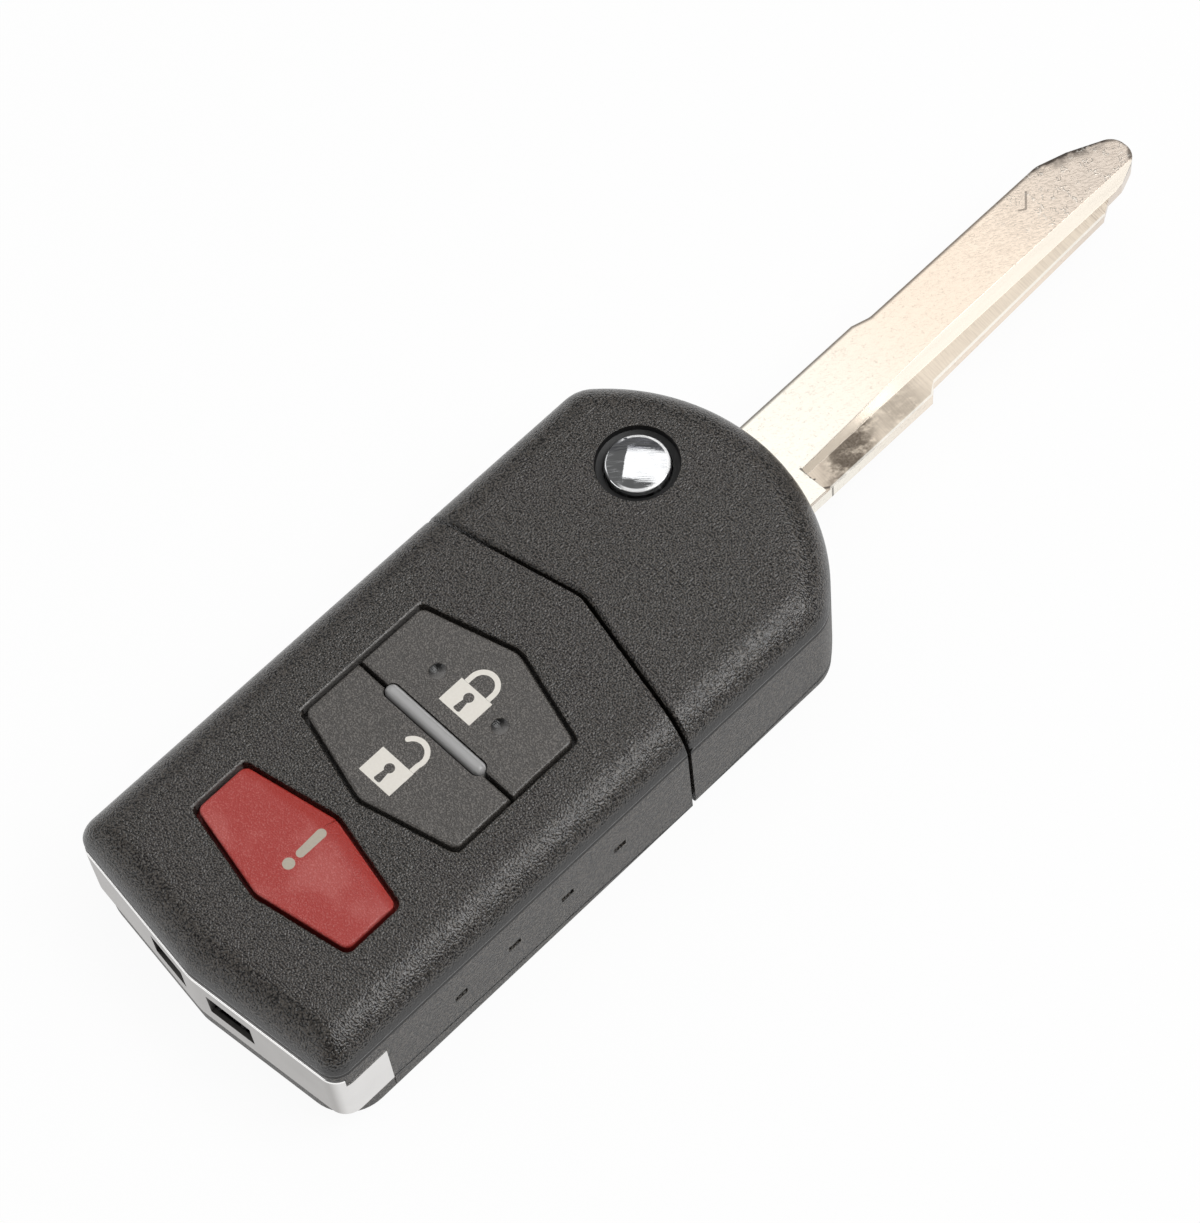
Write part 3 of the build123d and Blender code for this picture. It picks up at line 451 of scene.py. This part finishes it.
def chromePaint():
    sizes = chromePlate
    paint = Finish("chrome")
    haze = paint.noise(sizes["haze"], detail=3.0)
    marksPlace = paint.stretched(*sizes["marks"], turn=sizes["marksTurn"])
    marks = paint.noise(1.0, detail=2.0, vector=marksPlace)
    worn = paint.noise(sizes["worn"], detail=1.0)
    scuffs = marks.rise(*sizes["marksSpread"]) * worn.rise(*sizes["wornSpread"])
    dx = paint.x * (1 / mm) - pivot["x"]
    dy = paint.y * (1 / mm) - pivot["y"]
    reach = (dx * dx + dy * dy) ** 0.5
    # Painted highlight: a broken white ring at the rim, made matt white
    ring = reach.rise(*sizes["ringIn"]) * (1 - reach.rise(*sizes["ringOut"]))
    ring = ring * (dx + dy).rise(*sizes["ringSide"])
    gaps = paint.noise(sizes["ringGaps"], detail=1.0).rise(*sizes["ringSpread"])
    paintedRingHighlight = ring * gaps * (paint.z > sizes["ringLow"] * mm)
    plate = paint.mix(haze, *sizes["plate"])
    plate = paint.mix(scuffs * sizes["scuffShare"], plate, sizes["scuff"])
    # Painted reflection: dark bluish streaks on the upper side
    paintedDarkReflection = (dy * sizes["reflectionSlope"][0] - dx * sizes["reflectionSlope"][1]).rise(*sizes["reflectionFade"])
    paintedDarkReflection = paintedDarkReflection * marks.rise(*sizes["reflectionSpread"])
    plate = paint.mix(paintedDarkReflection * sizes["reflectionShare"], plate, sizes["paintedDarkReflection"])
    paint.set(Base_Color=paint.mix(paintedRingHighlight, plate, sizes["ring"]))
    paint.set(Metallic=1 - paintedRingHighlight * sizes["ringMatt"] - scuffs * sizes["scuffMatt"])
    paint.set(Roughness=sizes["roughness"] + scuffs * sizes["scuffDull"])
    relief = marks * worn + haze * sizes["hazeDeep"]
    paint.set(Normal=paint.bump(relief, sizes["depth"], sizes["strength"]))
    return paint.material


# Blade: nickel plate, milled relief with fine cross streaks, stained towards the root.
# Zones and lines are in millimetres from the pivot along the blade.
bladePlate = {
    "root": (0.92, 0.88, 0.79), "middle": (0.89, 0.76, 0.63), "tip": (0.72, 0.63, 0.545),
    "relief": (0.80, 0.70, 0.58), "slopePaintedShade": (0.31, 0.285, 0.25), "shade": (0.42, 0.35, 0.29),
    "glint": (0.95, 0.92, 0.85), "brown": (0.085, 0.062, 0.045), "line": (0.10, 0.085, 0.075),
    "topHigh": 8.8, "topDeep": 0.65, "edgeDeep": 0.2, "skin": 0.01,
    "rootZone": (12.0, 36.0), "tipZone": (42.0, 58.0), "tipBlotch": 10.0,
    "cloud": 6.0, "pits": 0.5, "brushed": (0.35, 5.0, 5.0),
    "flecks": (0.16, 0.5, 0.3), "flecksTurn": 0.5,
    "pitSpread": (0.56, 0.75), "pitShare": 0.35, "fleckSpread": (0.5, 0.8), "fleckShare": 0.25,
    "reliefFloor": 3.6, "reliefFade": (0.05, 0.1), "reliefLow": 12.4,
    "slopeZone": (17.0, 27.0), "rootSlopeZone": (16.0, 25.0), "rootSlopeLitMatt": 0.85,
    "cuts": (2.5, 0.14, 2.5), "cutsTurn": 0.12, "cutSpread": (0.42, 0.66), "cutShare": 0.22,
    "tipCuts": 0.6, "tipCutsIn": (50.0, 55.5), "tipCutsOut": (56.5, 57.5),
    "smudge": (1.3, 2.2, 2.0), "smudgeTurn": 0.3, "smudgeSpread": (0.30, 0.56),
    "coreAt": 17.0, "coreSide": 5.2, "coreLean": 0.7, "coreFade": (1.6, 4.6), "coreShare": 0.78,
    "trailAt": 24.0, "trailFade": (1.0, 4.5), "trailShare": 0.3,
    "stainGrain": 0.25, "stainLeast": 0.75, "stainGrainShare": 0.5,
    "dustAt": 13.4, "dustFade": (0.5, 2.2), "dustShare": 0.3,
    "leftEdge": ((-4.5, 6.0), (-4.5, 27.3), (-3.9, 29.3), (-3.9, 53.2), (-2.85, 56.5), (-1.4, 59.8),
                 (-0.2, 61.2), (1.2, 61.4), (2.2, 60.4)),
    "edgeFade": (0.08, 0.42), "edgeShare": 0.75,
    "tipShade": ((-3.7, 53.6), (-2.6, 56.8), (-1.5, 59.4)),
    "nose": 1.2, "noseFade": (0.1, 1.5), "noseSpread": (0.3, 0.6), "noseShare": 0.75,
    "reliefEnd": ((2.95, 12.42), (5.7, 12.5), (6.3, 13.3)), "endFade": (0.07, 0.16), "endShare": 0.75,
    "nick": ((4.3, 12.35), (4.5, 12.75)), "nickFade": (0.05, 0.12), "nickShare": 0.9,
    "tick": ((-2.65, 50.4), (-1.27, 48.9), (-1.66, 48.3)), "tickFade": (0.04, 0.16), "tickShare": 0.5,
    "rightEdge": ((6.3, 13.2), (6.3, 27.3), (5.4, 28.6), (4.65, 53.8)),
    "glintFade": (0.10, 0.22), "glintShare": 0.8,
    "reliefEdge": ((3.05, 12.4), (2.35, 33.0), (2.35, 62.0)), "creaseFade": (0.03, 0.09), "creaseShare": 0.3,
    "swirl": (0.75, 0.5, 0.5), "swirlTurn": 0.6, "ridgeFade": (0.006, 0.045),
    "wornZone": (43.0, 52.0), "worn": 0.9, "wornSpread": (0.52, 0.62), "squiggleShare": 0.4,
    "mottleSpread": (0.42, 0.62), "mottleZone": (30.0, 50.0), "mottleShare": 0.14,
    "roughness": 0.2, "brushedDull": 0.08, "reliefDull": 0.08, "stainDull": 0.3, "darkDull": 0.25,
    "heights": {"brushed": 0.4, "cuts": 0.6, "squiggle": 1.5, "mottle": 0.6, "tick": 1.5, "pits": 0.5},
    "depth": 0.012, "strength": 0.6,
}


def bladePaint():
    sizes = bladePlate
    paint = Finish("nickelPlate")
    along = paint.y * (1 / mm) - pivot["y"]
    across = paint.x * (1 / mm)
    top = paint.z > (sizes["topHigh"] - sizes["topDeep"]) * mm
    skinLow = (sizes["topHigh"] - sizes["skin"]) * mm
    cloud = paint.noise(sizes["cloud"], detail=4.0, roughness=0.6)
    pits = paint.noise(sizes["pits"], detail=3.0, roughness=0.7)
    brushed = paint.noise(1.0, detail=3.0, vector=paint.stretched(*sizes["brushed"]))
    cutPlace = paint.stretched(*sizes["cuts"], turn=sizes["cutsTurn"])
    cutMarks = paint.noise(1.0, detail=2.0, vector=cutPlace)
    body = paint.mix(along.rise(*sizes["rootZone"]), sizes["root"], sizes["middle"])
    blotched = along + cloud * sizes["tipBlotch"] - sizes["tipBlotch"] / 2
    body = paint.mix(blotched.rise(*sizes["tipZone"]), body, sizes["tip"])
    fleckPlace = paint.stretched(*sizes["flecks"], turn=sizes["flecksTurn"])
    flecks = paint.noise(1.0, detail=2.0, roughness=0.6, vector=fleckPlace)
    grit = pits.rise(*sizes["pitSpread"]) * sizes["pitShare"]
    grit = grit + flecks.rise(*sizes["fleckSpread"]) * sizes["fleckShare"]
    body = paint.mix(grit, body, sizes["shade"])

    # Milled relief and the slope down to it; the slope is darkened as painted shade further along the blade,
    # and made matt near the root to show lighter, as painted light
    below, above = sizes["reliefFade"]
    inRelief = across.rise(sizes["reliefFloor"] - below, sizes["reliefFloor"] + above)
    inRelief = inRelief * top * (along > sizes["reliefLow"])
    onSlope = (1 - inRelief) * (paint.z < skinLow) * top
    slopeShade = paint.mix(along.rise(*sizes["slopeZone"]), sizes["relief"], sizes["slopePaintedShade"])
    paintedLitRootSlope = onSlope * (1 - along.rise(*sizes["rootSlopeZone"]))
    body = paint.mix(onSlope, body, slopeShade)
    nearTip = along.rise(*sizes["tipCutsIn"]) * (1 - along.rise(*sizes["tipCutsOut"]))
    cutShare = cutMarks.rise(*sizes["cutSpread"]) * (sizes["cutShare"] + nearTip * sizes["tipCuts"])
    body = paint.mix(inRelief, body, paint.mix(cutShare, sizes["relief"], sizes["shade"]))

    # Brown smudge on the relief near its root end, fading in blotches along the blade
    smudgePlace = paint.stretched(*sizes["smudge"], turn=sizes["smudgeTurn"])
    smudge = paint.noise(1.0, detail=4.0, roughness=0.7, vector=smudgePlace)
    core = along - sizes["coreAt"] + (across - sizes["coreSide"]) * sizes["coreLean"]
    core = 1 - core.size().rise(*sizes["coreFade"])
    trail = 1 - (along - sizes["trailAt"]).size().rise(*sizes["trailFade"])
    stain = core * sizes["coreShare"] + trail * sizes["trailShare"]
    stain = (stain * inRelief * smudge.rise(*sizes["smudgeSpread"])).hold()
    fine = paint.noise(sizes["stainGrain"], detail=2.0)
    spotted = stain * (sizes["stainLeast"] + fine * sizes["stainGrainShare"])
    body = paint.mix(spotted.hold(), body, sizes["brown"])
    dusty = 1 - (along - sizes["dustAt"]).size().rise(*sizes["dustFade"])
    body = paint.mix(dusty * inRelief * sizes["dustShare"], body, sizes["shade"])

    # Painted shade along the left edge, on the nose and at the end of the relief; dark nick and tick
    # scratch; painted highlight along the right edge and painted shade along the relief's edge
    high = paint.z > (sizes["topHigh"] - sizes["edgeDeep"]) * mm
    edge = (1 - paint.away(sizes["leftEdge"]).rise(*sizes["edgeFade"])) * high
    noseNoise = paint.noise(sizes["nose"], detail=3.0)
    nose = 1 - paint.away(sizes["tipShade"]).rise(*sizes["noseFade"])
    nose = nose * noseNoise.rise(*sizes["noseSpread"]) * sizes["noseShare"]
    ends = 1 - paint.away(sizes["reliefEnd"]).rise(*sizes["endFade"])
    nick = 1 - paint.away(sizes["nick"]).rise(*sizes["nickFade"])
    tick = 1 - paint.away(sizes["tick"]).rise(*sizes["tickFade"])
    dark = edge * sizes["edgeShare"] + nose + ends * sizes["endShare"]
    dark = (dark + nick * sizes["nickShare"] + tick * sizes["tickShare"]).hold()
    body = paint.mix(dark, body, sizes["line"])
    glint = (1 - paint.away(sizes["rightEdge"]).rise(*sizes["glintFade"])) * top
    body = paint.mix(glint * sizes["glintShare"], body, sizes["glint"])
    crease = 1 - paint.away(sizes["reliefEdge"]).rise(*sizes["creaseFade"])
    body = paint.mix(crease * top * sizes["creaseShare"], body, sizes["shade"])

    # Little wear squiggles near the tip, as thin ridges painted bright as highlights, and mottled plate
    swirlPlace = paint.stretched(*sizes["swirl"], turn=sizes["swirlTurn"])
    swirl = paint.noise(1.0, detail=1.0, vector=swirlPlace)
    ridge = 1 - (swirl - 0.5).size().rise(*sizes["ridgeFade"])
    worn = along.rise(*sizes["wornZone"])
    worn = worn * paint.noise(sizes["worn"], detail=0.0).rise(*sizes["wornSpread"]) * (paint.z > skinLow)
    squiggle = ridge * worn
    mottle = flecks.rise(*sizes["mottleSpread"]) * along.rise(*sizes["mottleZone"])
    mottle = mottle * (paint.z > skinLow)
    body = paint.mix(mottle * sizes["mottleShare"], body, sizes["shade"])
    paint.set(Base_Color=paint.mix(squiggle * sizes["squiggleShare"], body, sizes["glint"]))
    # Matt slope near the root: painted light
    paint.set(Metallic=1 - paintedLitRootSlope * sizes["rootSlopeLitMatt"])
    dull = sizes["roughness"] + brushed * sizes["brushedDull"] + inRelief * sizes["reliefDull"]
    paint.set(Roughness=dull + stain * sizes["stainDull"] + dark * sizes["darkDull"])
    heights = sizes["heights"]
    relief = brushed * heights["brushed"] + inRelief * cutMarks * heights["cuts"]
    relief = relief + squiggle * heights["squiggle"] + mottle * heights["mottle"]
    relief = relief - tick * heights["tick"] + pits * heights["pits"]
    paint.set(Normal=paint.bump(relief, sizes["depth"], sizes["strength"]))
    return paint.material


# End piece: light satin zinc, with painted light on its right side, a painted highlight on its upper rim,
# and painted shade with painted glints in the slots
endPiece = {
    "point": -63.8, "slope": 0.1086, "skin": 0.3, "skinFade": 0.15,
    "slotSide": 8.0, "slotLow": 4.6, "slotHigh": 9.0, "sideFade": (16.3, 17.3), "rimFade": (10.2, 10.4),
    "front": (gray(0.37, 0.03), gray(0.46, 0.03)), "litRightSide": (gray(0.72, 0.015), gray(0.82, 0.015)),
    "rim": gray(0.95, 0.01), "hollow": (gray(0.012), gray(0.45)),
    "slotGlints": 0.9, "slotGlintSpread": (0.56, 0.62), "cloud": 4.0, "fine": 0.15,
    "roughness": 0.34, "fineDull": 0.1, "rimPolish": 0.26, "depth": 0.005, "strength": 0.6,
}


def endPaint():
    sizes = endPiece
    paint = Finish("satinZinc", Metallic=1.0)
    across = (paint.x * (1 / mm)).size()
    depth = paint.y * (1 / mm) - (sizes["point"] + pivot["y"]) - across * sizes["slope"]
    inside = depth.rise(sizes["skin"], sizes["skin"] + sizes["skinFade"]) * (across < sizes["slotSide"])
    inside = inside * (paint.z > sizes["slotLow"] * mm) * (paint.z < sizes["slotHigh"] * mm)
    slotGlints = paint.noise(sizes["slotGlints"], detail=2.0, roughness=0.6)
    cloud = paint.noise(sizes["cloud"], detail=3.0)
    fine = paint.noise(sizes["fine"], detail=2.0)
    # Painted light: a lighter copy on the right side
    side = paint.x.rise(*[place * mm for place in sizes["sideFade"]])
    shade = paint.mix(side, paint.mix(cloud, *sizes["front"]), paint.mix(cloud, *sizes["litRightSide"]))
    # Painted highlight on the upper rim
    rim = paint.z.rise(*[place * mm for place in sizes["rimFade"]])
    shade = paint.mix(rim, shade, sizes["rim"])
    # Painted shade with painted glints inside the slots
    hollow = paint.mix(slotGlints.rise(*sizes["slotGlintSpread"]), *sizes["hollow"])
    paint.set(Base_Color=paint.mix(inside, shade, hollow))
    paint.set(Roughness=sizes["roughness"] + fine * sizes["fineDull"] - rim * sizes["rimPolish"])
    paint.set(Normal=paint.bump(fine, sizes["depth"], sizes["strength"]))
    return paint.material


# Plain cast, rolled or moulded finish for the pieces inside
castLook = {
    "grain": 0.25, "cloudGrains": 8, "cloudShare": 0.6, "fineShare": 0.4, "dark": 0.72,
    "fineDull": 0.12, "depthShare": 0.06, "strength": 0.6,
}


def castPaint(name, colour, roughness=0.45, metallic=1.0):
    sizes = castLook
    paint = Finish(name, Metallic=metallic)
    cloud = paint.noise(sizes["grain"] * sizes["cloudGrains"], detail=3.0)
    fine = paint.noise(sizes["grain"], detail=2.0)
    dark = tuple(channel * sizes["dark"] for channel in colour)
    share = cloud * sizes["cloudShare"] + fine * sizes["fineShare"]
    paint.set(Base_Color=paint.mix(share, dark, colour))
    paint.set(Roughness=roughness + fine * sizes["fineDull"])
    paint.set(Normal=paint.bump(fine, sizes["grain"] * sizes["depthShare"], sizes["strength"]))
    return paint.material


# Board: green mask over copper lines that show as faint ridges
boardMask = {
    "cell": 1.6, "traceSpread": (0.45, 0.5), "traceShare": 0.6, "speck": 0.2, "speckShare": 0.2,
    "dark": (0.008, 0.07, 0.03), "light": (0.02, 0.16, 0.07),
    "roughness": 0.32, "speckDull": 0.1, "depth": 0.03, "strength": 0.6,
}


def boardPaint():
    sizes = boardMask
    paint = Finish("boardMask", Specular_IOR_Level=0.5)
    settings = {"distance": "CHEBYCHEV", "feature": "F1"}
    values = {"Vector": paint.place, "Scale": 1 / (sizes["cell"] * mm)}
    lines = paint.add("ShaderNodeTexVoronoi", settings, values, out=1)
    trace = paint.split(lines)[0].rise(*sizes["traceSpread"])
    speck = paint.noise(sizes["speck"], detail=2.0)
    share = trace * sizes["traceShare"] + speck * sizes["speckShare"]
    paint.set(Base_Color=paint.mix(share, sizes["dark"], sizes["light"]))
    paint.set(Roughness=sizes["roughness"] + speck * sizes["speckDull"])
    paint.set(Normal=paint.bump(trace, sizes["depth"], sizes["strength"]))
    return paint.material


# Finish of each material slot, laid on every solid that the record gives that slot
def dressNodes():
    finishes = {
        "case_plastic": casePaint(),
        "key_plastic": keyPaint(),
        "alarm_plastic": alarmPaint(),
        "bar_plastic": barPaint(),
        "inner_plastic": castPaint("innerPlastic", gray(0.02), roughness=0.5, metallic=0.0),
        "chrome": chromePaint(),
        "blade_steel": bladePaint(),
        "end_metal": endPaint(),
        "hub_metal": castPaint("castZinc", gray(0.45)),
        "spring_steel": castPaint("springSteel", gray(0.5), roughness=0.28),
        "screw_steel": castPaint("screwSteel", gray(0.42), roughness=0.35),
        "silicone": castPaint("silicone", gray(0.05), roughness=0.6, metallic=0.0),
        "board_laminate": boardPaint(),
        "chip_black": castPaint("blackResin", gray(0.02), roughness=0.5, metallic=0.0),
        "cell_steel": castPaint("canSteel", gray(0.62), roughness=0.3),
        "copper": castPaint("tinnedCopper", (0.72, 0.5, 0.32), roughness=0.35),
    }
    for part in frame["record"]["subparts"]:
        mesh = nodes[part["node"]].data
        mesh.materials.clear()
        mesh.materials.append(finishes[part["material_slot"]])
    return finishes


# Plain mesh object from a bmesh, riding on a body
def settle(name, shape, material, body):
    mesh = bpy.data.meshes.new(name)
    shape.to_mesh(mesh)
    shape.free()
    mesh.materials.append(material)
    piece = bpy.data.objects.new(name, mesh)
    scene.collection.objects.link(piece)
    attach(piece, body)


# Pressure spring under the release button: a coil of round wire
releaseSpring = {
    "coilRadius": 1.95, "wire": 0.6, "turns": 6.0, "low": 4.15, "high": 12.85, "pressedShare": 0.77,
    "stepsPerTurn": 28, "sides": 10,
}


# Empty node tree with named inputs and one geometry output
def startTree(name, inputs):
    tree = bpy.data.node_groups.new(name, "GeometryNodeTree")
    for label, kind in inputs:
        tree.interface.new_socket(label, in_out="INPUT", socket_type=kind)
    tree.interface.new_socket("Geometry", in_out="OUTPUT", socket_type="NodeSocketGeometry")
    return tree


def treeNode(tree, kind, values):
    node = tree.nodes.new(kind)
    for key, value in values.items():
        if isinstance(value, bpy.types.NodeSocket):
            tree.links.new(value, node.inputs[key])
        else:
            node.inputs[key].default_value = value
    return node


def plainMesh(thing):
    bpy.context.view_layer.update()
    graph = bpy.context.evaluated_depsgraph_get()
    mesh = bpy.data.meshes.new_from_object(thing.evaluated_get(graph))
    bpy.data.objects.remove(thing)
    return mesh


# Runs a tree on an empty mesh with the given inputs and gives back the plain mesh
def growMesh(tree, values):
    carrier = bpy.data.objects.new(tree.name + "Carrier", bpy.data.meshes.new(tree.name + "Seed"))
    scene.collection.objects.link(carrier)
    modifier = carrier.modifiers.new(tree.name, "NODES")
    modifier.node_group = tree
    for item in tree.interface.items_tree:
        if item.in_out == "INPUT":
            modifier[item.identifier] = values[item.name]
    return plainMesh(carrier)


def makeReleaseSpring(material):
    sizes = releaseSpring
    tree = startTree("coil", [
        ("Turns", "NodeSocketFloat"), ("Coil Radius", "NodeSocketFloat"),
        ("Height", "NodeSocketFloat"), ("Wire Radius", "NodeSocketFloat"),
        ("Finish", "NodeSocketMaterial"),
    ])
    given = tree.nodes.new("NodeGroupInput").outputs
    coil = treeNode(tree, "GeometryNodeCurveSpiral", {
        "Resolution": sizes["stepsPerTurn"], "Rotations": given["Turns"],
        "Start Radius": given["Coil Radius"], "End Radius": given["Coil Radius"],
        "Height": given["Height"],
    })
    ring = treeNode(tree, "GeometryNodeCurvePrimitiveCircle", {
        "Resolution": sizes["sides"], "Radius": given["Wire Radius"],
    })
    wire = treeNode(tree, "GeometryNodeCurveToMesh", {
        "Curve": coil.outputs[0], "Profile Curve": ring.outputs[0], "Fill Caps": True,
    })
    smooth = treeNode(tree, "GeometryNodeSetShadeSmooth", {"Geometry": wire.outputs[0]})
    real = treeNode(tree, "GeometryNodeRealizeInstances", {"Geometry": smooth.outputs[0]})
    dressed = treeNode(tree, "GeometryNodeSetMaterial", {
        "Geometry": real.outputs[0], "Material": given["Finish"],
    })
    treeNode(tree, "NodeGroupOutput", {"Geometry": dressed.outputs[0]})

    height = sizes["high"] - sizes["low"] - sizes["wire"]
    mesh = growMesh(tree, {
        "Turns": sizes["turns"], "Coil Radius": sizes["coilRadius"] * mm, "Height": height * mm,
        "Wire Radius": sizes["wire"] / 2 * mm, "Finish": material,
    })
    low = sizes["low"] + sizes["wire"] / 2
    mesh.transform(Matrix.Translation((pivot["x"] * mm, pivot["y"] * mm, low * mm)))
    spring = bpy.data.objects.new("release_spring", mesh)
    scene.collection.objects.link(spring)
    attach(spring, "blade_unit")
    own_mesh(spring)
    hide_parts("flip_spring")


# Printed signs on the keys: thin plates laid on the key's face. Discs are (x, y, radius)
signs = {
    "thick": 0.035, "lift": -0.005, "keySunk": 0.05, "overlap": 0.02, "side": 2.02,
    "lockTop": -27.14, "lockLow": -30.1, "unlockTop": -36.97, "unlockLow": -40.04, "unlockShift": -0.17,
    "shackleRadius": 1.40, "shackleWidth": 0.55, "shackleFoot": -26.75, "shackleRise": 0.35,
    "openIn": 0.32, "openReach": 1.35, "openRadius": 1.45, "openTurn": (-20, 150),
    "holeHigh": 1.95, "lockHoleX": -0.05, "holeRadius": 0.52, "holeTurn": (-60, 240),
    "stemLength": 1.45, "stemSide": 0.17, "stemRound": 0.25,
    "strokeTop": (0.07, -46.85, 0.50), "strokeLow": (0.13, -49.45, 0.44), "dot": (0.1, -50.9, 0.6),
    "inkGrain": 0.25, "white": ((0.74, 0.70, 0.63), (0.83, 0.80, 0.74)),
    "gray": ((0.40, 0.36, 0.29), (0.5, 0.45, 0.37)),
}


def inkPaint(name, roughness, colours):
    ink = Finish(name, Roughness=roughness)
    ink.set(Base_Color=ink.mix(ink.noise(signs["inkGrain"], detail=2.0), *colours))
    return ink.material


def arcPoints(centreX, centreY, radius, start, end, count):
    points = []
    for step in range(count + 1):
        angle = math.radians(start + (end - start) * step / count)
        points.append((centreX + radius * math.cos(angle), centreY + radius * math.sin(angle)))
    return points


# Flat plate from closed outlines in plan, where an outline inside another is a hole
def signPlate(name, outlines, height, material, body):
    curve = bpy.data.curves.new(name, "CURVE")
    curve.dimensions = "2D"
    curve.fill_mode = "BOTH"
    curve.extrude = signs["thick"] * mm / 2
    for points in outlines:
        spline = curve.splines.new("POLY")
        spline.points.add(len(points) - 1)
        for point, (x, y) in zip(spline.points, points):
            point.co = (x * mm, (y + pivot["y"]) * mm, 0, 1)
        spline.use_cyclic_u = True
    drawn = bpy.data.objects.new(name + "Curve", curve)
    scene.collection.objects.link(drawn)
    mesh = plainMesh(drawn)
    mesh.transform(Matrix.Translation((0, 0, height * mm)))
    shape = bmesh.new()
    shape.from_mesh(mesh)
    bmesh.ops.remove_doubles(shape, verts=shape.verts, dist=1e-7)
    bmesh.ops.recalc_face_normals(shape, faces=shape.faces)
    settle(name, shape, material, body)


def keyhole(x, y):
    side, turnRadius, low = signs["stemSide"], signs["stemRound"], y - signs["stemLength"]
    points = arcPoints(x, y, signs["holeRadius"], *signs["holeTurn"], 28)
    points += arcPoints(x - side, low, turnRadius, 200, 270, 5)
    return points + arcPoints(x + side, low, turnRadius, 270, 340, 5)


def rectangleAt(x, side, low, top):
    return [(x - side, low), (x + side, low), (x + side, top), (x - side, top)]


# Band that follows a path of points, with round or flat ends
def band(points, width, roundEnd):
    left, right = [], []
    for i, (x, y) in enumerate(points):
        nextX, nextY = points[min(i + 1, len(points) - 1)]
        lastX, lastY = points[max(i - 1, 0)]
        along = Vector((nextX - lastX, nextY - lastY)).normalized()
        left.append((x - along.y * width / 2, y + along.x * width / 2))
        right.append((x + along.y * width / 2, y - along.x * width / 2))
    if roundEnd:
        heading = math.degrees(math.atan2(points[-1][1] - points[-2][1], points[-1][0] - points[-2][0]))
        cap = arcPoints(*points[-1], width / 2, heading + 90, heading - 90, 12)
        left += cap[1:-1]
    return left + right[::-1]


def makeSigns():
    sizes = signs
    white = inkPaint("whiteInk", 0.45, sizes["white"])
    height = faceHigh - sizes["keySunk"] + sizes["lift"]
    side, top, low = sizes["side"], sizes["lockTop"], sizes["lockLow"]
    hole = keyhole(sizes["lockHoleX"], low + sizes["holeHigh"])
    plate = [rectangleAt(0, side, low, top), hole]
    signPlate("lock_sign_body", plate, height, white, "lock_key")
    radius, foot, start = sizes["shackleRadius"], sizes["shackleFoot"], top + sizes["overlap"]
    path = [(radius, start), (radius, foot)]
    path += arcPoints(0, foot + sizes["shackleRise"], radius, 0, 180, 24)
    path += [(-radius, foot), (-radius, start)]
    closed = [band(path, sizes["shackleWidth"], False)]
    signPlate("lock_sign_shackle", closed, height, white, "lock_key")

    shift, top, low = sizes["unlockShift"], sizes["unlockTop"], sizes["unlockLow"]
    plate = [rectangleAt(shift, side, low, top), keyhole(shift, low + sizes["holeHigh"])]
    signPlate("unlock_sign_body", plate, height, white, "unlock_key")
    footX, reach = shift + side - sizes["openIn"], sizes["openReach"]
    path = [(footX, top + sizes["overlap"])]
    path += arcPoints(footX - reach, top + reach, sizes["openRadius"], *sizes["openTurn"], 26)
    opened = [band(path, sizes["shackleWidth"], True)]
    signPlate("unlock_sign_shackle", opened, height, white, "unlock_key")

    pale = inkPaint("grayInk", 0.4, sizes["gray"])
    stroke = arcPoints(*sizes["strokeTop"], 0, 180, 12) + arcPoints(*sizes["strokeLow"], 180, 360, 12)
    dot = arcPoints(*sizes["dot"], 0, 345, 23)
    signPlate("alarm_sign", [stroke, dot], height, pale, "alarm_key")


makeCamera()
makeStudio()
print("studio ready")
finishes = dressNodes()
print("solids dressed")
makeReleaseSpring(finishes["spring_steel"])
print("spring wound")
makeSigns()
print("signs laid")
